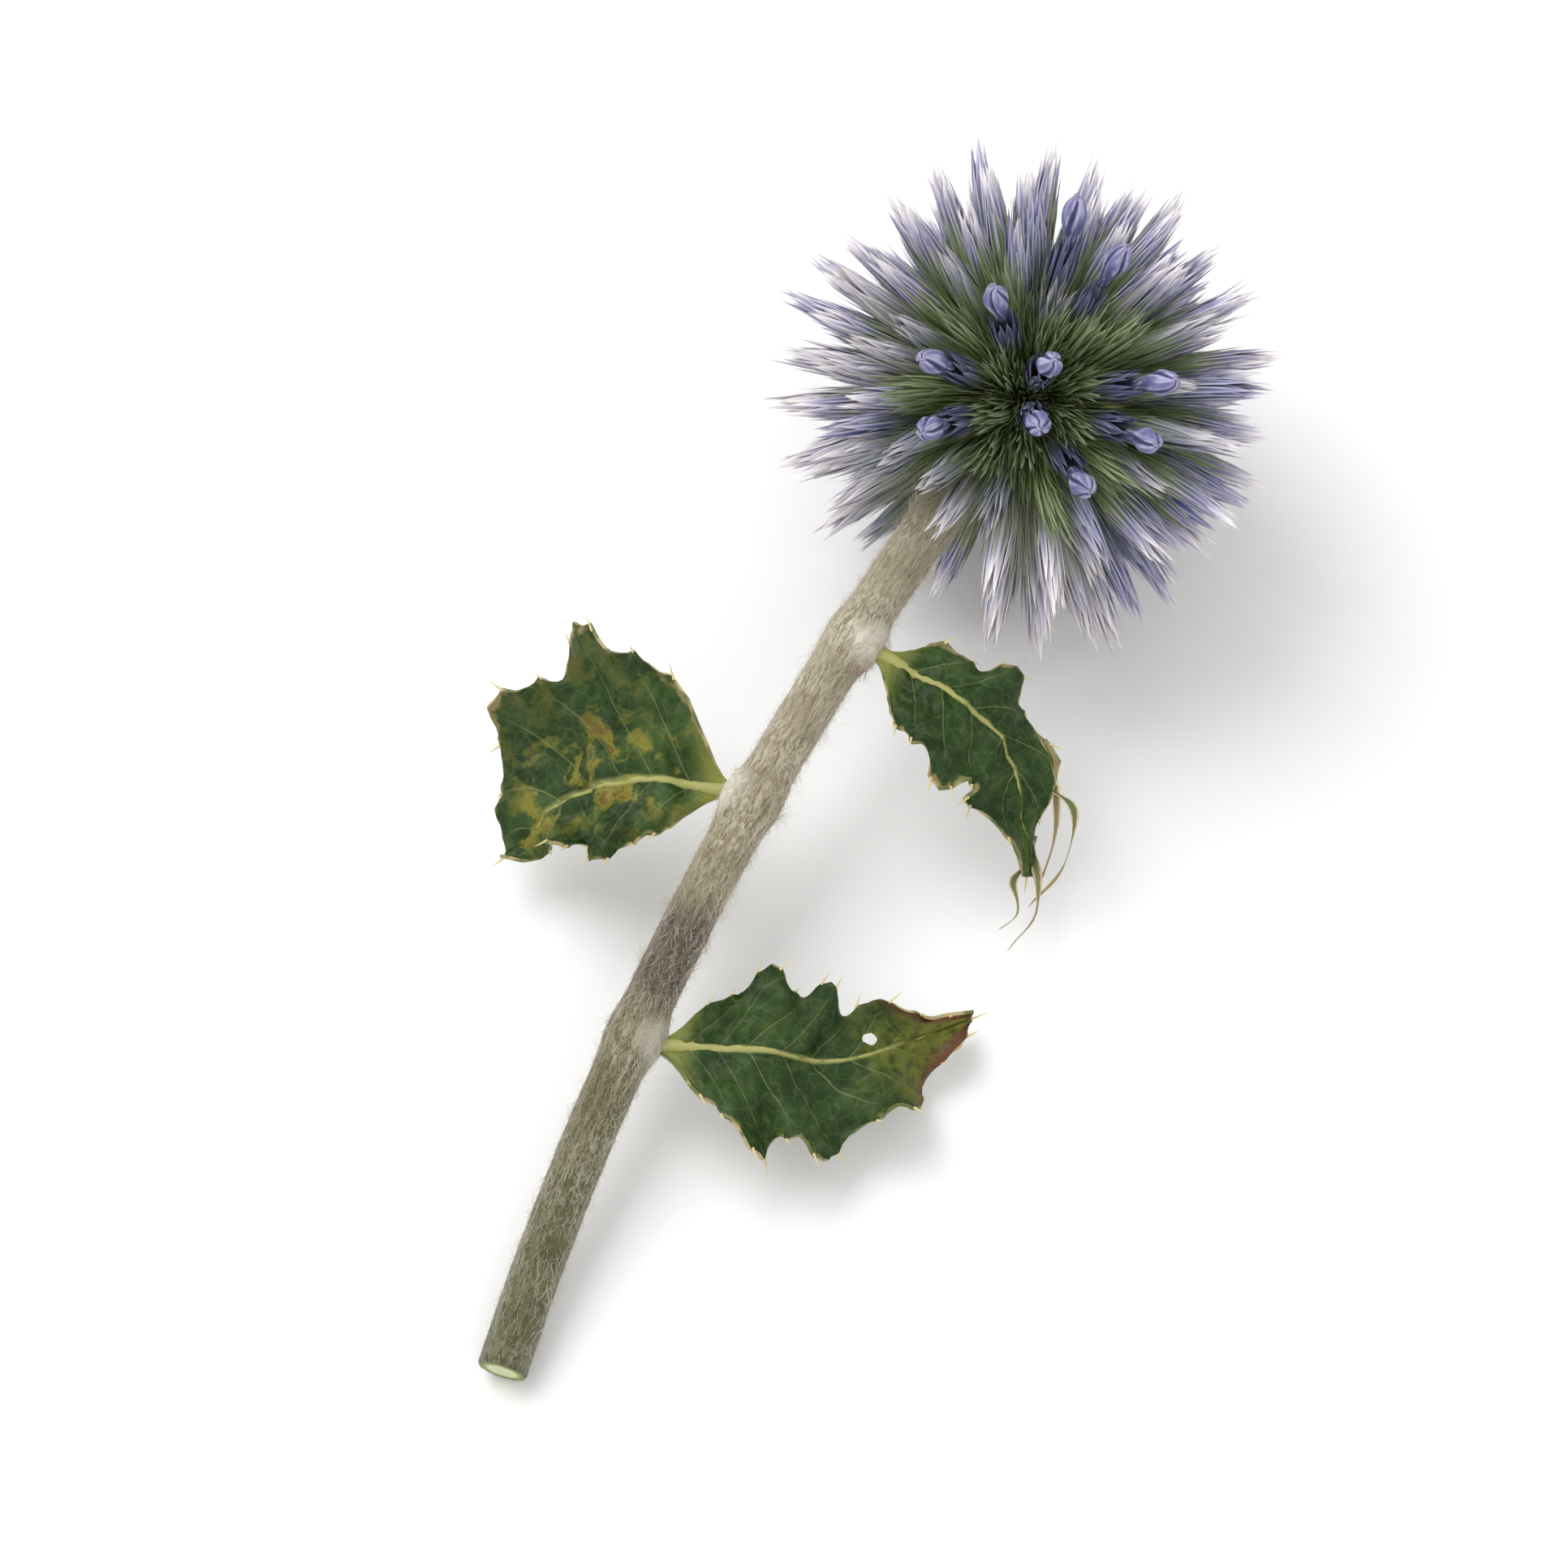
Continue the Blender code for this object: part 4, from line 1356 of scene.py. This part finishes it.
def modelBlade(name, leaf):
    axis, outward, _ = leafFoot(leaf)
    foot = (axis + outward * (stemRadius(leaf["at"] * mm) + 0.45 * mm)) / mm
    points = [foot + Vector(point) for point in leaf["midrib"]]
    points[0] -= outward * blade["rooted"]   # the foot is lost in the wool
    selectOnly()
    bpy.ops.mesh.primitive_grid_add(x_subdivisions=blade["columns"],
                                    y_subdivisions=blade["rows"], size=2.0, calc_uvs=False)
    piece = bpy.context.object
    spots = (places(piece) + 1.0) / 2.0
    mapPiece(piece, "blade", lambda vertex: spots[vertex][:2])
    putPlaces(piece, [bladeSpot(leaf, points, share, row * 2.0 - 1.0) * mm
                      for share, row, _ in spots.tolist()])
    for material in (bladeShade(name, leaf), finishes["underside"], finishes["rim"]):
        piece.data.materials.append(material)
    polygons = piece.data.polygons
    facing = polygons[len(polygons) // 2].normal.dot(Vector(leaf["faces"][0]))
    if facing < 0:
        bpy.ops.object.mode_set(mode="EDIT")
        bpy.ops.mesh.select_all(action="SELECT")
        bpy.ops.mesh.flip_normals()
        bpy.ops.object.mode_set(mode="OBJECT")
    if "hole" in leaf:
        cutHole(piece, leaf["hole"])
    thick = piece.modifiers.new("thick", "SOLIDIFY")
    thick.thickness = blade["thickness"]
    thick.offset = -1.0
    thick.material_offset = 1
    thick.material_offset_rim = 2
    bpy.ops.object.modifier_apply(modifier="thick")
    parts = [piece, modelRib(leaf, points), *modelSpines(leaf, points)]
    if name == "upper":
        parts += [modelRibbon(leaf, points, spec) for spec in ribbons]
    return joinPieces(parts, "blade" + name.capitalize())


print("modelling leaves")
finishes = {
    "underside": undersideShade(),
    "rim": rimShade(),
    "ribbon": ribbonShade(),
    "rib": Shade("midrib", Roughness=0.6, Base_Color=(*tone(156, 154, 88), 1.0)).material,
    "spine": Shade("spine", Roughness=0.6, Base_Color=(*tone(206, 192, 138), 1.0)).material,
}
for name, leaf in leaves.items():
    finishPiece(modelBlade(name, leaf), "leaf", 60, "leaf_" + name)

stage = {
    "floorSize": 6.0,
    "floorTone": (0.86, 0.86, 0.86, 1.0),
    "worldTone": (1.0, 1.0, 1.0, 1.0),
    "worldLight": 0.85,
    # place, size and power
    "lights": {"keyLight": ((-0.45, 0.05, 0.75), 0.6, 4.5),
               "fillLight": ((0.6, -0.5, 0.6), 0.8, 1.5)},
}
view = {"azimuth": 28.4, "elevation": 60.0, "lens": 220.0, "distance": 0.89,
        "aim": (0.5, -3.0, 14.0)}


def faceAlong(thing, way):
    thing.rotation_euler = way.to_track_quat("-Z", "Y").to_euler()


def buildStage():
    selectOnly()
    bpy.ops.mesh.primitive_plane_add(size=stage["floorSize"])
    floor = bpy.context.object
    floor.name = "floor"
    shade = Shade("paleFloor", Roughness=0.9, Base_Color=stage["floorTone"])
    floor.data.materials.append(shade.material)
    world = bpy.data.worlds.new("studio")
    world.use_nodes = True
    sky = world.node_tree.nodes["Background"].inputs
    sky["Color"].default_value = stage["worldTone"]
    sky["Strength"].default_value = stage["worldLight"]
    bpy.context.scene.world = world
    for name, (place, size, power) in stage["lights"].items():
        bpy.ops.object.light_add(type="AREA", location=place)
        light = bpy.context.object
        light.name = name
        light.data.size = size
        light.data.energy = power
        faceAlong(light, -Vector(place))
    selectOnly()


def aimCamera():
    turn, rise = math.radians(view["azimuth"]), math.radians(view["elevation"])
    towards = Vector((math.sin(turn) * math.cos(rise), -math.cos(turn) * math.cos(rise),
                      math.sin(rise)))
    place = Vector(view["aim"]) * mm + towards * view["distance"]
    bpy.ops.object.camera_add(location=place)
    camera = bpy.context.object
    camera.name = "camera"
    faceAlong(camera, -towards)
    camera.data.lens = view["lens"]
    camera.data.clip_start = 0.01
    bpy.context.scene.camera = camera
    bpy.context.scene.view_settings.view_transform = "Standard"


buildStage()
aimCamera()
print("stage ready")
